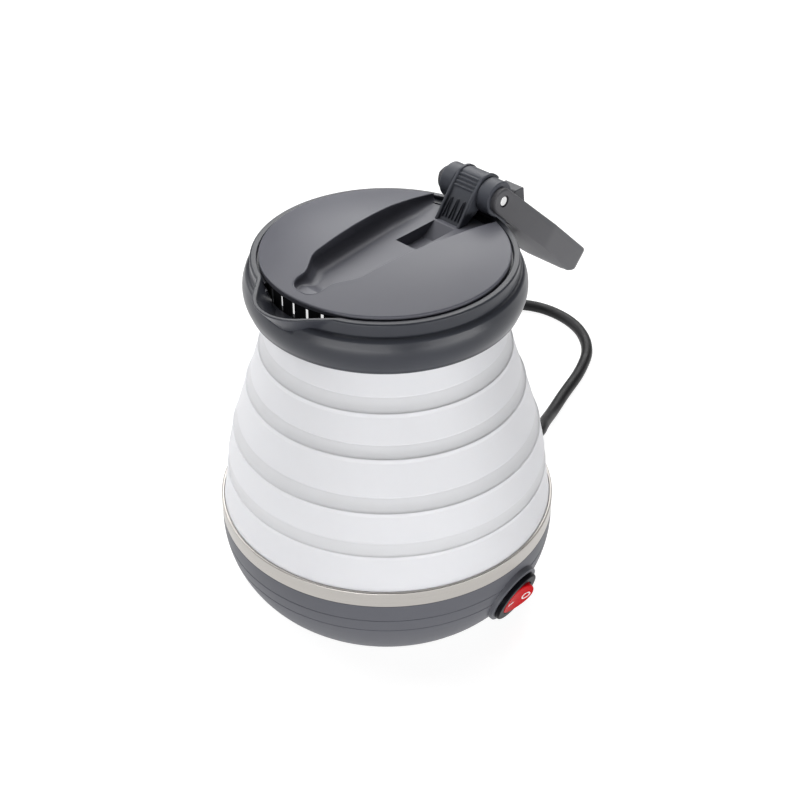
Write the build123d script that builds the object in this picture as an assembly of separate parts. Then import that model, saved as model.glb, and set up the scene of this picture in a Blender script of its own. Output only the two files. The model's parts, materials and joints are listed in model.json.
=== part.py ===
from build123d import *
import os
from math import atan2, ceil, cos, pi, radians, sin, sqrt, tan

os.makedirs("parts", exist_ok=True)

# Collapsible travel kettle. Sizes are in millimetres, angles in degrees.
# The table is at Z = 0 under the middle of the body, the spout points to -Y and the handle to +Y.

# Fits shared by the whole kettle
OVERRUN = 10.0
SEAT_GAP = 0.05
SLIDE_GAP = 0.3

# Base
TRIM_D = 140.0
TRIM_WALL = 1.1
TRIM_H = 7.0
BASE_TOP_Z = 34.8
BASE_FOOT_IN = 12.7
BASE_SIDE_H = 3.0
BASE_WALL = 2.4
BASE_EDGE_ROUND = 1.2
FOOT_STAND = 1.0
GROOVE_W = 0.8
GROOVE_DEPTH = 0.4
UPPER_GROOVE_Z = 27.1
LOWER_GROOVE_Z = 20.9
SHELF_T = 2.4
SHELF_IN = 14.0
COVER_INSET = 4.5
COVER_T = 2.2
LEDGE_T = 2.0
LEDGE_IN = 16.0
BOSS_WALL = 2.2
BOSS_H = 7.0
CATCH_TURN = 23.0
CATCH_Z = 18.0
CATCH_W = 5.0
CATCH_H = 2.6
CATCH_DEPTH = 1.0

# Screws and feet under the base
COVER_SCREW_R = 1.4
COVER_SCREW_HEAD_R = 2.8
COVER_SCREW_HEAD_H = 1.2
COVER_SCREW_IN = 10.0
FOOT_R = 5.0
FOOT_SINK = 0.8
FOOT_IN = 23.3

# Heated pan and what hangs under it
FLANGE_T = 2.0
FLANGE_INSET = 2.0
PAN_T = 1.0
PAN_BRIM_H = 3.0
ELEMENT_PLATE_IN = 6.0
ELEMENT_PLATE_T = 3.0
ELEMENT_IN = 12.0
ELEMENT_TUBE_R = 3.5
ELEMENT_SINK = 1.0
ELEMENT_SWEEP = 290.0
ELEMENT_PIN_R = 1.5
ELEMENT_PIN_L = 7.5
PAN_SCREW_R = 1.5
PAN_SCREW_HEAD_R = 2.6
PAN_SCREW_HEAD_H = 2.0
PAN_SCREW_IN = 9.0
PAN_SCREW_ANGLE = 30.0
THERMOSTAT_R = 8.0
THERMOSTAT_H = 9.0
THERMOSTAT_OUT = 13.0
BRACKET_L = 58.0
BRACKET_W = 14.0
BRACKET_T = 1.2
FUSE_R = 2.2
FUSE_L = 16.0
FUSE_IN = 14.0
BLOCK_L = 26.0
BLOCK_W = 14.0
BLOCK_H = 11.0
BLOCK_OUT = 24.0
WIRE_R = 1.1
WIRE_STEP = 3.0
WIRE_STUB_L = 4.0
WIRE_IN_L = 13.0
WIRE_DROP = 5.0

# Silicone wall: rigid bands with thin folds between them
SILICONE_T = 1.2
FOLD_T = 0.6
FOLD_SINK = 0.5
NEST_GAP = 0.5
LIP_ROUND = 0.4
BAND_4_IN = 0.2
BAND_4_H = 15.8
BAND_4_TAPER = 2.5
FOLD_4_H = 5.3
BAND_3_STEP = 0.3
BAND_3_H = 13.7
BAND_3_TAPER = 2.9
FOLD_3_H = 5.2
BAND_2_H = 15.8
BAND_2_TAPER = 4.8
FOLD_2_H = 4.3
BAND_1_H = 12.9
BAND_1_TAPER = 4.1
FOLD_1_H = 5.2
NECK_H = 14.0
NECK_TAPER = 4.2
NECK_GRIP_H = 7.0
NECK_BEAD_OUT = 1.5
NECK_BEAD_T = 1.6

# Collar round the mouth
CLAMP_WALL = 1.8
CLAMP_FLANGE_T = 1.4
CLAMP_DROP = 1.0
COLLAR_WEB = 1.6
COLLAR_H = 21.0
COLLAR_FOOT_OUT = 9.0
COLLAR_BULGE = 1.9
COLLAR_SHOULDER_H = 15.4
COLLAR_SHOULDER_OUT = 1.4
COLLAR_FOOT_ROUND = 1.6
COLLAR_SKIN = 2.6
COLLAR_ROOF_T = 3.0
SEAT_W = 3.0
SEAT_DROP = 1.6
RIM_WALL = 2.8
RIM_ROUND = 0.8

# Spout
SPOUT_OUT = 11.15
SPOUT_TIP_ROUND = 17.0
SPOUT_FOOT_ROUND = 10.0
SPOUT_ROOT_IN = 8.65
SPOUT_SIDE_ANGLE = 42.1
SPOUT_LEAN = 8.2
SPOUT_WALL = 1.9
SPOUT_TOP_RISE = 0.6
SPOUT_DEPTH = 10.0
SPOUT_FLOOR_T = 2.0
STRAINER_T = 1.2
STRAINER_INSET = 0.8
STRAINER_SPAN = 56.0
STRAINER_SLOTS = 7
STRAINER_SLOT_ANGLE = 8.0
STRAINER_SLOT_W = 1.1
STRAINER_EDGE = 1.0

# Lid
LID_GAP = 0.7
LID_EDGE_T = 2.0
LID_EDGE_ROUND = 0.7
LID_CROWN_H = 6.0
LID_SKIN = 2.0
SEAL_T = 0.8
SEAL_INSET = 0.6
LINER_GAP = 1.8
LINER_WALL = 1.6
LINER_H = 10.5
LINER_REAR_IN = 10.35
LID_REAR_IN = 6.35
NOTCH_HALF_W = 16.8
SHELF_GAP = 0.4
REAR_SHELF_T = 2.0
REAR_SHELF_DROP = 2.5

# Trough in the lid for the folded handle
TROUGH_FLOOR_DROP = 3.2
TROUGH_REAR_HALF_W = 16.8
TROUGH_REAR_L = 31.8
TROUGH_REAR_ROUND = 60.0
TROUGH_FRONT_HALF_W = 12.6
TROUGH_FRONT_BACK = 7.2
TROUGH_FRONT_ROUND = 11.0
TROUGH_NECK_HALF_W = 6.6
TROUGH_NECK_PAST = 1.8
TROUGH_NECK_ROUND = 6.0
TROUGH_TIP_HALF_W = 6.2
TROUGH_TIP_PAST = 11.2
TROUGH_TIP_ROUND = 5.0
TROUGH_BOTTOM_ROUND = 3.0
FINGER_GAP = 1.0
FINGER_RISE = 2.6
POCKET_HALF_W = 5.6
POCKET_FRONT_L = 39.8
POCKET_REAR_L = 17.8
POCKET_RAMP_L = 7.0
POCKET_DEPTH = 5.0

# Hinge
HINGE_IN = 0.35
HINGE_RISE = 7.1
PIN_R = 1.9
PIN_GAP = 0.05
PIN_SINK = 0.4
PIN_EYE_R = 2.5
PIN_EYE_DEPTH = 0.9
KNUCKLE_R = 7.3
KNUCKLE_OUT = 13.0
ARM_SIDE_GAP = 0.2
PILLAR_FRONT = 2.8
PILLAR_BACK = 4.6
DECK_FRONT = 1.8
DECK_GAP = 0.6
DECK_T = 9.0
ARM_HALF_W = 6.6
ARM_FOOT_HALF_W = 5.3
ARM_FOOT_FRONT_L = 16.8
ARM_FOOT_REAR_L = 12.4
ARM_KNEE_L = 7.8
ARM_KNEE_RISE = 12.0
ARM_TOP_L = 3.2
ARM_TOP_RISE = 17.0
ARM_BACK_ANGLE = 35.0
ARM_EYE_GAP = 0.7
ARM_RIDGES = 3
ARM_RIDGE_STEP = 1.9
ARM_RIDGE_W = 1.0
ARM_FLUTES = 3
ARM_FLUTE_STEP = 3.6
ARM_FLUTE_W = 1.9
ARM_FLUTE_L = 9.5

# Handle, drawn along its own length from the pin
HANDLE_DROOP = 42.2
HANDLE_L = 85.0
HANDLE_OUTER_H = 5.1
HANDLE_CREST_H = 9.1
HANDLE_SIDE_H = 5.9
HANDLE_PLATE_H = 5.7
HANDLE_EYE_R = 5.7
HANDLE_PLATE_W = 2.35
HANDLE_WAIST_BACK = 43.0
HANDLE_TIP_HALF_W = 10.0
HANDLE_TIP_ROUND = 8.5
HANDLE_NOSE_ROUND = 6.2
HANDLE_TIP_H = 3.8
HANDLE_HEEL_ROUND = 2.6
HANDLE_BEND_BACK = 11.0
HANDLE_BEND_H = 7.7
HANDLE_BEND_ROUND = 25.0
HANDLE_CREST_FROM = 26.0
HANDLE_CREST_BACK = 30.0
HANDLE_CREST_ROUND = 60.0
HANDLE_SLOPE_ROUND = 8.0
HANDLE_SLOT_L = 16.5
PLATE_GAP = 0.15
HANDLE_WALL = 2.2
HANDLE_END_WALL = 1.4
HANDLE_COVER_T = 1.6
HANDLE_COVER_RIM = 1.5
HANDLE_COVER_LEDGE = 1.2
HANDLE_SCREW_R = 1.2
HANDLE_SCREW_HEAD_R = 2.2
HANDLE_SCREW_HEAD_H = 1.0
HANDLE_SCREW_L = 6.0
HANDLE_SCREW_FIRST = 44.0
HANDLE_SCREW_BACK = 19.0

# Release button in the handle
BUTTON_HALF_W = 4.8
BUTTON_FRONT = 19.4
BUTTON_FRONT_RISE = 3.1
BUTTON_APEX = 23.4
BUTTON_RISE = 6.4
BUTTON_REAR = 31.0
BUTTON_FLANGE_OUT = 1.0
BUTTON_FLANGE_T = 1.2
BUTTON_STEM_R = 2.2
BUTTON_STROKE = 2.0
SPRING_R = 3.6
SPRING_WIRE = 0.7
SPRING_SEAT_H = 4.6
SPRING_SEAT_R = 4.4

# Switch
SWITCH_TURN = 4.0
SWITCH_Z = 17.7
SWITCH_TILT = 18.0
SWITCH_BODY_R = 10.0
SWITCH_BODY_L = 14.0
SWITCH_BEZEL_R = 11.9
SWITCH_BEZEL_T = 2.0
SWITCH_BEZEL_ROUND = 0.6
SWITCH_BOSS_R = 13.6
SWITCH_BOSS_OUT = 0.6
SWITCH_BOSS_IN = 5.0
ROCKER_R = 8.1
ROCKER_GAP = 0.35
ROCKER_THROW = 18.0
ROCKER_DISH = 0.9
ROCKER_HALF_H = 2.0
ROCKER_PIVOT_DROP = 1.5
ROCKER_PIVOT_R = 1.0
ROCKER_PIVOT_L = 1.1
ROCKER_WELL = 3.6
TAB_W = 6.3
TAB_T = 0.8
TAB_L = 6.0
TAB_STEP = 10.0

# Mains lead
CORD_R = 2.9
CORD_EXIT_Z = 12.0
RELIEF_L = 25.3
RELIEF_ROOT_R = 5.4
RELIEF_TIP_R = 3.7
RELIEF_NECK_R = 4.6
RELIEF_FLANGE_R = 6.6
RELIEF_FLANGE_T = 1.5
RELIEF_BOSS_R = 8.2
RELIEF_BOSS_IN = 3.5
COIL_X = -107.3
COIL_Y = 102.1
COIL_R = 38.0
COIL_START = 45.0
COIL_SIDE_QUARTERS = 5
COIL_PITCH = 6.8
COIL_LAYER_GAP = 0.5
COIL_CLIMB_IN = 1.0
CORD_STUB_L = 5.8
PLUG_TAIL_L = 18.0
PLUG_R = 18.5
PLUG_H = 17.0
PLUG_ROUND = 3.0
PLUG_NOSE_L = 10.0
PLUG_NOSE_R = 5.0
PLUG_PIN_R = 2.4
PLUG_PIN_L = 19.0
PLUG_PIN_STEP = 19.0
EARTH_CLIP_W = 8.0
EARTH_CLIP_T = 1.2

# The lead's free stretch from the strain relief to the coil, points chosen by hand
LEAD_POINTS = [
    (0.0, 103.0, 12.0),
    (-7.2, 115.5, 8.2),
    (-13.6, 129.5, 3.4),
    (-19.9, 146.8, 2.9),
    (-26.1, 167.8, 2.9),
    (-36.5, 188.4, 2.9),
    (-56.9, 202.0, 2.9),
    (-83.1, 201.6, 2.9),
    (-101.6, 184.8, 2.9),
    (-104.0, 160.0, 2.9),
]
LEAD_IN_L = 12.2
BEND_SHARE = 0.45
GAP_PARTS = 12

# Radii and heights that follow from the sizes, from the base up to the lid
TRIM_R = TRIM_D / 2
BASE_FOOT_R = TRIM_R - BASE_FOOT_IN
SHELF_R = TRIM_R - SHELF_IN
LEDGE_R = BASE_FOOT_R - LEDGE_IN
COVER_SCREW_CIRCLE_R = BASE_FOOT_R - COVER_SCREW_IN
FOOT_CIRCLE_R = BASE_FOOT_R - FOOT_IN
ELEMENT_PLATE_R = SHELF_R - ELEMENT_PLATE_IN
ELEMENT_R = ELEMENT_PLATE_R - ELEMENT_IN
PAN_SCREW_CIRCLE_R = TRIM_R - PAN_SCREW_IN
FUSE_OUT = ELEMENT_R - FUSE_IN
TRIM_TOP_Z = BASE_TOP_Z + TRIM_H
BOWL_Z = BASE_TOP_Z - BASE_SIDE_H
BOWL_R = ((BOWL_Z - FOOT_STAND)**2 + BASE_FOOT_IN**2) / (2 * BASE_FOOT_IN)
SHELF_Z = BASE_TOP_Z - SHELF_T
COVER_R = BASE_FOOT_R - COVER_INSET
COVER_TOP_Z = FOOT_STAND + COVER_T
LEDGE_TOP_Z = COVER_TOP_Z + LEDGE_T
BOSS_TOP_Z = LEDGE_TOP_Z + BOSS_H

FLANGE_TOP_Z = BASE_TOP_Z + FLANGE_T
BAND_4_FOOT_R = TRIM_R - TRIM_WALL - BAND_4_IN
BAND_4_LIP_R = BAND_4_FOOT_R - BAND_4_TAPER
BAND_4_LIP_Z = TRIM_TOP_Z + BAND_4_H
BAND_3_FOOT_R = BAND_4_LIP_R - BAND_3_STEP
BAND_3_LIP_R = BAND_3_FOOT_R - BAND_3_TAPER
BAND_3_FOOT_Z = BAND_4_LIP_Z + FOLD_4_H
BAND_3_LIP_Z = BAND_3_FOOT_Z + BAND_3_H
BAND_2_FOOT_R = BAND_3_LIP_R - SILICONE_T - NEST_GAP
BAND_2_LIP_R = BAND_2_FOOT_R - BAND_2_TAPER
BAND_2_FOOT_Z = BAND_3_LIP_Z + FOLD_3_H
BAND_2_LIP_Z = BAND_2_FOOT_Z + BAND_2_H
BAND_1_FOOT_R = BAND_2_LIP_R - SILICONE_T - NEST_GAP
BAND_1_LIP_R = BAND_1_FOOT_R - BAND_1_TAPER
BAND_1_FOOT_Z = BAND_2_LIP_Z + FOLD_2_H
BAND_1_LIP_Z = BAND_1_FOOT_Z + BAND_1_H
NECK_FOOT_R = BAND_1_LIP_R - SILICONE_T - NEST_GAP
NECK_LIP_R = NECK_FOOT_R - NECK_TAPER
NECK_FOOT_Z = BAND_1_LIP_Z + FOLD_1_H

COLLAR_FOOT_Z = NECK_FOOT_Z + NECK_H
NECK_TOP_Z = COLLAR_FOOT_Z + NECK_GRIP_H
BEAD_Z = NECK_TOP_Z - NECK_BEAD_T
CLAMP_TOP_Z = NECK_TOP_Z + CLAMP_FLANGE_T
MOUTH_R = NECK_LIP_R + NECK_BEAD_OUT + SEAT_GAP
WEB_R = MOUTH_R + COLLAR_WEB
SEAT_R = MOUTH_R + SEAT_W
RIM_R = SEAT_R + RIM_WALL
COLLAR_FOOT_R = NECK_LIP_R + COLLAR_FOOT_OUT
SHOULDER_R = RIM_R + COLLAR_SHOULDER_OUT
SHOULDER_Z = COLLAR_FOOT_Z + COLLAR_SHOULDER_H
RIM_TOP_Z = COLLAR_FOOT_Z + COLLAR_H
SEAT_Z = RIM_TOP_Z - SEAT_DROP
STRAINER_R = SEAT_R - STRAINER_INSET
SPOUT_FOOT_Z = RIM_TOP_Z - SPOUT_DEPTH
SPOUT_FLOOR_Z = SPOUT_FOOT_Z + SPOUT_FLOOR_T
SPOUT_TOP_Z = RIM_TOP_Z + SPOUT_TOP_RISE

LID_R = SEAT_R - LID_GAP
LID_FOOT_Z = SEAT_Z + SEAL_T
LID_EDGE_Z = LID_FOOT_Z + LID_EDGE_T
CROWN_Z = LID_EDGE_Z + LID_CROWN_H
DOME_R = (LID_R**2 + LID_CROWN_H**2) / (2 * LID_CROWN_H)
LINER_R = MOUTH_R - LINER_GAP
TROUGH_Z = LID_EDGE_Z - TROUGH_FLOOR_DROP

SPOUT_TIP_R = RIM_R + SPOUT_OUT
SPOUT_ROOT_Y = RIM_R - SPOUT_ROOT_IN
LINER_REAR_Y = MOUTH_R - LINER_REAR_IN
LID_REAR_Y = MOUTH_R - LID_REAR_IN
HINGE_Y = RIM_R - HINGE_IN
HINGE_Z = RIM_TOP_Z + HINGE_RISE
FOLDED_TIP_Y = HINGE_Y - HANDLE_L
TROUGH_REAR_Y = HINGE_Y - TROUGH_REAR_L
TROUGH_FRONT_Y = FOLDED_TIP_Y + TROUGH_FRONT_BACK
TROUGH_NECK_Y = FOLDED_TIP_Y - TROUGH_NECK_PAST
TROUGH_TIP_Y = FOLDED_TIP_Y - TROUGH_TIP_PAST
FINGER_Y = FOLDED_TIP_Y - FINGER_GAP
POCKET_FRONT_Y = HINGE_Y - POCKET_FRONT_L
POCKET_REAR_Y = HINGE_Y - POCKET_REAR_L
ARM_FOOT_FRONT_Y = HINGE_Y - ARM_FOOT_FRONT_L
ARM_FOOT_REAR_Y = HINGE_Y - ARM_FOOT_REAR_L
ARM_KNEE_Y = HINGE_Y - ARM_KNEE_L
ARM_TOP_Y = HINGE_Y - ARM_TOP_L
PIN_HOLE_R = PIN_R + PIN_GAP
KNUCKLE_IN = ARM_HALF_W + ARM_SIDE_GAP
ARM_EYE_R = HINGE_RISE - ARM_EYE_GAP
SLOT_HALF_W = KNUCKLE_OUT + PLATE_GAP
HANDLE_HALF_W = SLOT_HALF_W + HANDLE_PLATE_W
COVER_SEAT_H = HANDLE_OUTER_H - HANDLE_COVER_T
HANDLE_WAIST_AT = HANDLE_L - HANDLE_WAIST_BACK
HANDLE_BEND_AT = HANDLE_L - HANDLE_BEND_BACK
HANDLE_CREST_TO = HANDLE_L - HANDLE_CREST_BACK
HANDLE_SCREW_SECOND = HANDLE_L - HANDLE_SCREW_BACK
RELIEF_BOSS_Y = BASE_FOOT_R - RELIEF_BOSS_IN
RELIEF_ROOT_Y = TRIM_R - BOWL_R + sqrt(BOWL_R**2 - (BOWL_Z - CORD_EXIT_Z)**2)
RELIEF_TIP_Y = RELIEF_ROOT_Y + RELIEF_L

STAND = (Align.CENTER, Align.CENTER, Align.MIN)
REACH = 2 * TRIM_D


# Shared helpers

def turned(outline, rounds=()):
    """Turns an outline of (radius, height) corners about Z; rounds holds (corner number, radius)."""
    face = make_face(Polyline(*outline, close=True))
    for place, radius in rounds:
        corner = face.vertices().sort_by_distance(Vector(*outline[place]))[0]
        face = fillet(corner, radius)
    return revolve(Plane.XZ * face, Axis.Z)


def rod(radius, low, high):
    return Pos(0, 0, low) * Cylinder(radius, high - low, align=STAND)


def ring(outer_r, inner_r, low, high):
    return turned([(inner_r, low), (outer_r, low), (outer_r, high), (inner_r, high)])


def block(x_low, x_high, y_low, y_high, z_low, z_high):
    middle = Pos((x_low + x_high) / 2, (y_low + y_high) / 2, (z_low + z_high) / 2)
    return middle * Box(x_high - x_low, y_high - y_low, z_high - z_low)


def across(outline, half_w):
    """A solid of constant section across X from (Y, Z) corners."""
    return extrude(Plane.YZ * make_face(Polyline(*outline, close=True)), half_w, both=True)


def cross_rod(radius, half_l, y, z):
    """A round bar along X."""
    return Pos(0, y, z) * Rot(0, 90, 0) * Cylinder(radius, 2 * half_l)


def spots(count, radius, start=0.0):
    """Places evenly round Z."""
    return [Rot(0, 0, start + k * 360 / count) * Pos(radius, 0, 0) for k in range(count)]


def group(solids):
    return Compound(children=list(solids))


def bowl_r(z, grow=0.0):
    """Outer radius of the base housing at a height: its side is an arc that ends upright."""
    return TRIM_R - BOWL_R + sqrt((BOWL_R + grow)**2 - min(z - BOWL_Z, 0)**2)


# Base

def switch_place():
    """The switch looks out along its Z, its Y runs up the wall and its X towards the raised side."""
    turn, tilt = radians(SWITCH_TURN), radians(SWITCH_TILT)
    radius = bowl_r(SWITCH_Z)
    return Plane(
        origin=(radius * cos(turn), radius * sin(turn), SWITCH_Z),
        x_dir=(-sin(turn), cos(turn), 0),
        z_dir=(cos(tilt) * cos(turn), cos(tilt) * sin(turn), -sin(tilt)),
    )


def bowl(low, high, grow=0.0):
    """The solid that the base housing's outer wall bounds between two heights."""
    low_r, side_r = bowl_r(low, grow), TRIM_R + grow
    middle = (low + BOWL_Z) / 2
    side = ThreePointArc((low_r, low), (bowl_r(middle, grow), middle), (side_r, BOWL_Z))
    rest = Polyline((side_r, BOWL_Z), (side_r, high), (0, high), (0, low), (low_r, low))
    return revolve(Plane.XZ * make_face(side + rest), Axis.Z)


def along_y(radius, y_low, y_high):
    """A round bar along Y at the height of the cord's exit."""
    return Pos(0, y_low, CORD_EXIT_Z) * Rot(-90, 0, 0) * Cylinder(radius, y_high - y_low, align=STAND)


def base_groove(z):
    inner = bowl_r(z) - GROOVE_DEPTH
    low, high = z - GROOVE_W / 2, z + GROOVE_W / 2
    return ring(inner + OVERRUN, inner, low, high)


def base_shell():
    shell = bowl(FOOT_STAND, BASE_TOP_Z)
    shell = fillet(shell.edges().sort_by(Axis.Z)[0], BASE_EDGE_ROUND)
    shell -= bowl(LEDGE_TOP_Z, SHELF_Z, -BASE_WALL)
    shell -= rod(COVER_R + SLIDE_GAP, 0, COVER_TOP_Z) + rod(LEDGE_R, 0, LEDGE_TOP_Z)
    shell -= rod(SHELF_R, SHELF_Z, BASE_TOP_Z)
    return shell - base_groove(UPPER_GROOVE_Z) - base_groove(LOWER_GROOVE_Z)


def switch_boss():
    boss = rod(SWITCH_BOSS_R, -SWITCH_BOSS_IN, SWITCH_BOSS_OUT)
    return switch_place() * fillet(boss.edges().sort_by(Axis.Z)[-1], SWITCH_BOSS_OUT / 2)


def screw_bosses():
    boss = rod(COVER_SCREW_R + BOSS_WALL, COVER_TOP_Z, BOSS_TOP_Z)
    return [spot * boss for spot in spots(4, COVER_SCREW_CIRCLE_R, 45)]


def screw_bores():
    bore = rod(COVER_SCREW_R + SEAT_GAP, 0, BOSS_TOP_Z - BOSS_WALL / 2)
    return [spot * bore for spot in spots(4, COVER_SCREW_CIRCLE_R, 45)]


def catch_pocket():
    """Blind pocket of the snap that holds the housing, beside the switch."""
    radius = bowl_r(CATCH_Z)
    return Rot(0, 0, CATCH_TURN) * Pos(radius, 0, CATCH_Z) * Box(2 * CATCH_DEPTH, CATCH_W, CATCH_H)


def base_housing():
    relief_boss = along_y(RELIEF_BOSS_R, RELIEF_BOSS_Y, RELIEF_TIP_Y) & bowl(FOOT_STAND, BASE_TOP_Z)
    body = base_shell() + switch_boss() + screw_bosses() + relief_boss
    body -= switch_place() * rod(SWITCH_BODY_R + SEAT_GAP, -SWITCH_BODY_L, OVERRUN)
    body -= along_y(RELIEF_NECK_R + SEAT_GAP, RELIEF_BOSS_Y - OVERRUN, RELIEF_TIP_Y)
    body -= screw_bores()
    body -= [spot * rod(PAN_SCREW_R + SEAT_GAP, SHELF_Z, BASE_TOP_Z) for spot in pan_screw_spots()]
    return body - catch_pocket()


def bottom_cover():
    plate = rod(COVER_R, FOOT_STAND, COVER_TOP_Z)
    plate -= screw_bores()
    head = rod(COVER_SCREW_HEAD_R + SEAT_GAP, 0, FOOT_STAND + COVER_SCREW_HEAD_H)
    plate -= [spot * head for spot in spots(4, COVER_SCREW_CIRCLE_R, 45)]
    pocket = rod(FOOT_R + SEAT_GAP, 0, FOOT_STAND + FOOT_SINK)
    return plate - [spot * pocket for spot in spots(4, FOOT_CIRCLE_R, 45)]


def feet():
    foot = rod(FOOT_R, 0, FOOT_STAND + FOOT_SINK)
    foot = fillet(foot.edges().sort_by(Axis.Z)[0], FOOT_STAND / 2)
    return group(spot * foot for spot in spots(4, FOOT_CIRCLE_R, 45))


def cover_screws():
    head_top = FOOT_STAND + COVER_SCREW_HEAD_H
    screw = rod(COVER_SCREW_HEAD_R, FOOT_STAND, head_top) + rod(COVER_SCREW_R, head_top, BOSS_TOP_Z - BOSS_WALL)
    cross = Box(COVER_SCREW_HEAD_R, COVER_SCREW_R / 3, COVER_SCREW_HEAD_H)
    cross += Box(COVER_SCREW_R / 3, COVER_SCREW_HEAD_R, COVER_SCREW_HEAD_H)
    screw -= Pos(0, 0, FOOT_STAND) * cross
    return group(spot * screw for spot in spots(4, COVER_SCREW_CIRCLE_R, 45))


def steel_trim_ring():
    return ring(TRIM_R, TRIM_R - TRIM_WALL, BASE_TOP_Z, TRIM_TOP_Z)


# Heating

def pan_screw_spots():
    return spots(6, PAN_SCREW_CIRCLE_R, PAN_SCREW_ANGLE)


def heating_plate():
    radius = BAND_4_FOOT_R - SILICONE_T - SLIDE_GAP
    top = FLANGE_TOP_Z + PAN_T
    brim_top = top + PAN_BRIM_H
    return turned([
        (0, FLANGE_TOP_Z), (radius, FLANGE_TOP_Z), (radius, brim_top),
        (radius - PAN_T, brim_top), (radius - PAN_T, top), (0, top),
    ], [(1, PAN_T / 2)])


def element_z():
    return FLANGE_TOP_Z - ELEMENT_PLATE_T + ELEMENT_SINK - ELEMENT_TUBE_R


def element_path():
    gap = (360 - ELEMENT_SWEEP) / 2
    return Pos(0, 0, element_z()) * CenterArc((0, 0), ELEMENT_R, 90 + gap, ELEMENT_SWEEP)


def element_plate():
    plate = rod(ELEMENT_PLATE_R, FLANGE_TOP_Z - ELEMENT_PLATE_T, FLANGE_TOP_Z)
    return plate - Pos(0, 0, element_z()) * Torus(ELEMENT_R, ELEMENT_TUBE_R + SEAT_GAP)


def element_ends():
    gap = radians((360 - ELEMENT_SWEEP) / 2)
    x, y = ELEMENT_R * sin(gap), ELEMENT_R * cos(gap)
    return [(x, y), (-x, y)]


def heating_element():
    path = element_path()
    tube = sweep(Plane(path @ 0, z_dir=path % 0) * Circle(ELEMENT_TUBE_R), path=path)
    pin = rod(ELEMENT_PIN_R, element_z() - ELEMENT_PIN_L, element_z())
    return tube + [Pos(x, y) * pin for x, y in element_ends()]


def pan_screws():
    head = rod(PAN_SCREW_HEAD_R, SHELF_Z - PAN_SCREW_HEAD_H, SHELF_Z)
    screw = head + rod(PAN_SCREW_R, SHELF_Z, FLANGE_TOP_Z)
    return group(spot * screw for spot in pan_screw_spots())


def thermostat_discs():
    top = FLANGE_TOP_Z - ELEMENT_PLATE_T
    disc = rod(THERMOSTAT_R, top - THERMOSTAT_H, top)
    disc -= ring(THERMOSTAT_R + OVERRUN, THERMOSTAT_R - BRACKET_T, top - THERMOSTAT_H / 2, top - THERMOSTAT_H / 3)
    return group(Pos(side * THERMOSTAT_OUT) * disc for side in (-1, 1))


def thermostat_bracket():
    top = FLANGE_TOP_Z - ELEMENT_PLATE_T
    low = top - THERMOSTAT_H - BRACKET_T
    half_l, half_w = BRACKET_L / 2, BRACKET_W / 2
    strip = block(-half_l, half_l, -half_w, half_w, low, low + BRACKET_T)
    for side in (-1, 1):
        strip += Pos(side * (half_l - BRACKET_T / 2), 0, low) * Box(BRACKET_T, BRACKET_W, top - low, align=STAND)
    return strip


def fuse_z():
    return FLANGE_TOP_Z - ELEMENT_PLATE_T - FUSE_R - SEAT_GAP


def thermal_fuse():
    return cross_rod(FUSE_R, FUSE_L / 2, -FUSE_OUT, fuse_z())


def terminal_block():
    half_l, half_w = BLOCK_L / 2, BLOCK_W / 2
    return block(-half_l, half_l, BLOCK_OUT - half_w, BLOCK_OUT + half_w, COVER_TOP_Z, COVER_TOP_Z + BLOCK_H)


def bend_radii(points):
    """A radius for each corner of a route, as large as its shorter run allows."""
    runs = [(b - a).length for a, b in zip(points, points[1:])]
    radii = []
    for place in range(1, len(points) - 1):
        turn = (points[place] - points[place - 1]).get_angle(points[place + 1] - points[place])
        radii.append(BEND_SHARE * min(runs[place - 1], runs[place]) / tan(radians(turn / 2)))
    return radii


def wire(*points):
    corners = [Vector(*point) for point in points]
    route = FilletPolyline(*corners, radius=bend_radii(corners))
    return sweep(Plane(route @ 0, z_dir=route % 0) * Circle(WIRE_R), path=route)


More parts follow.
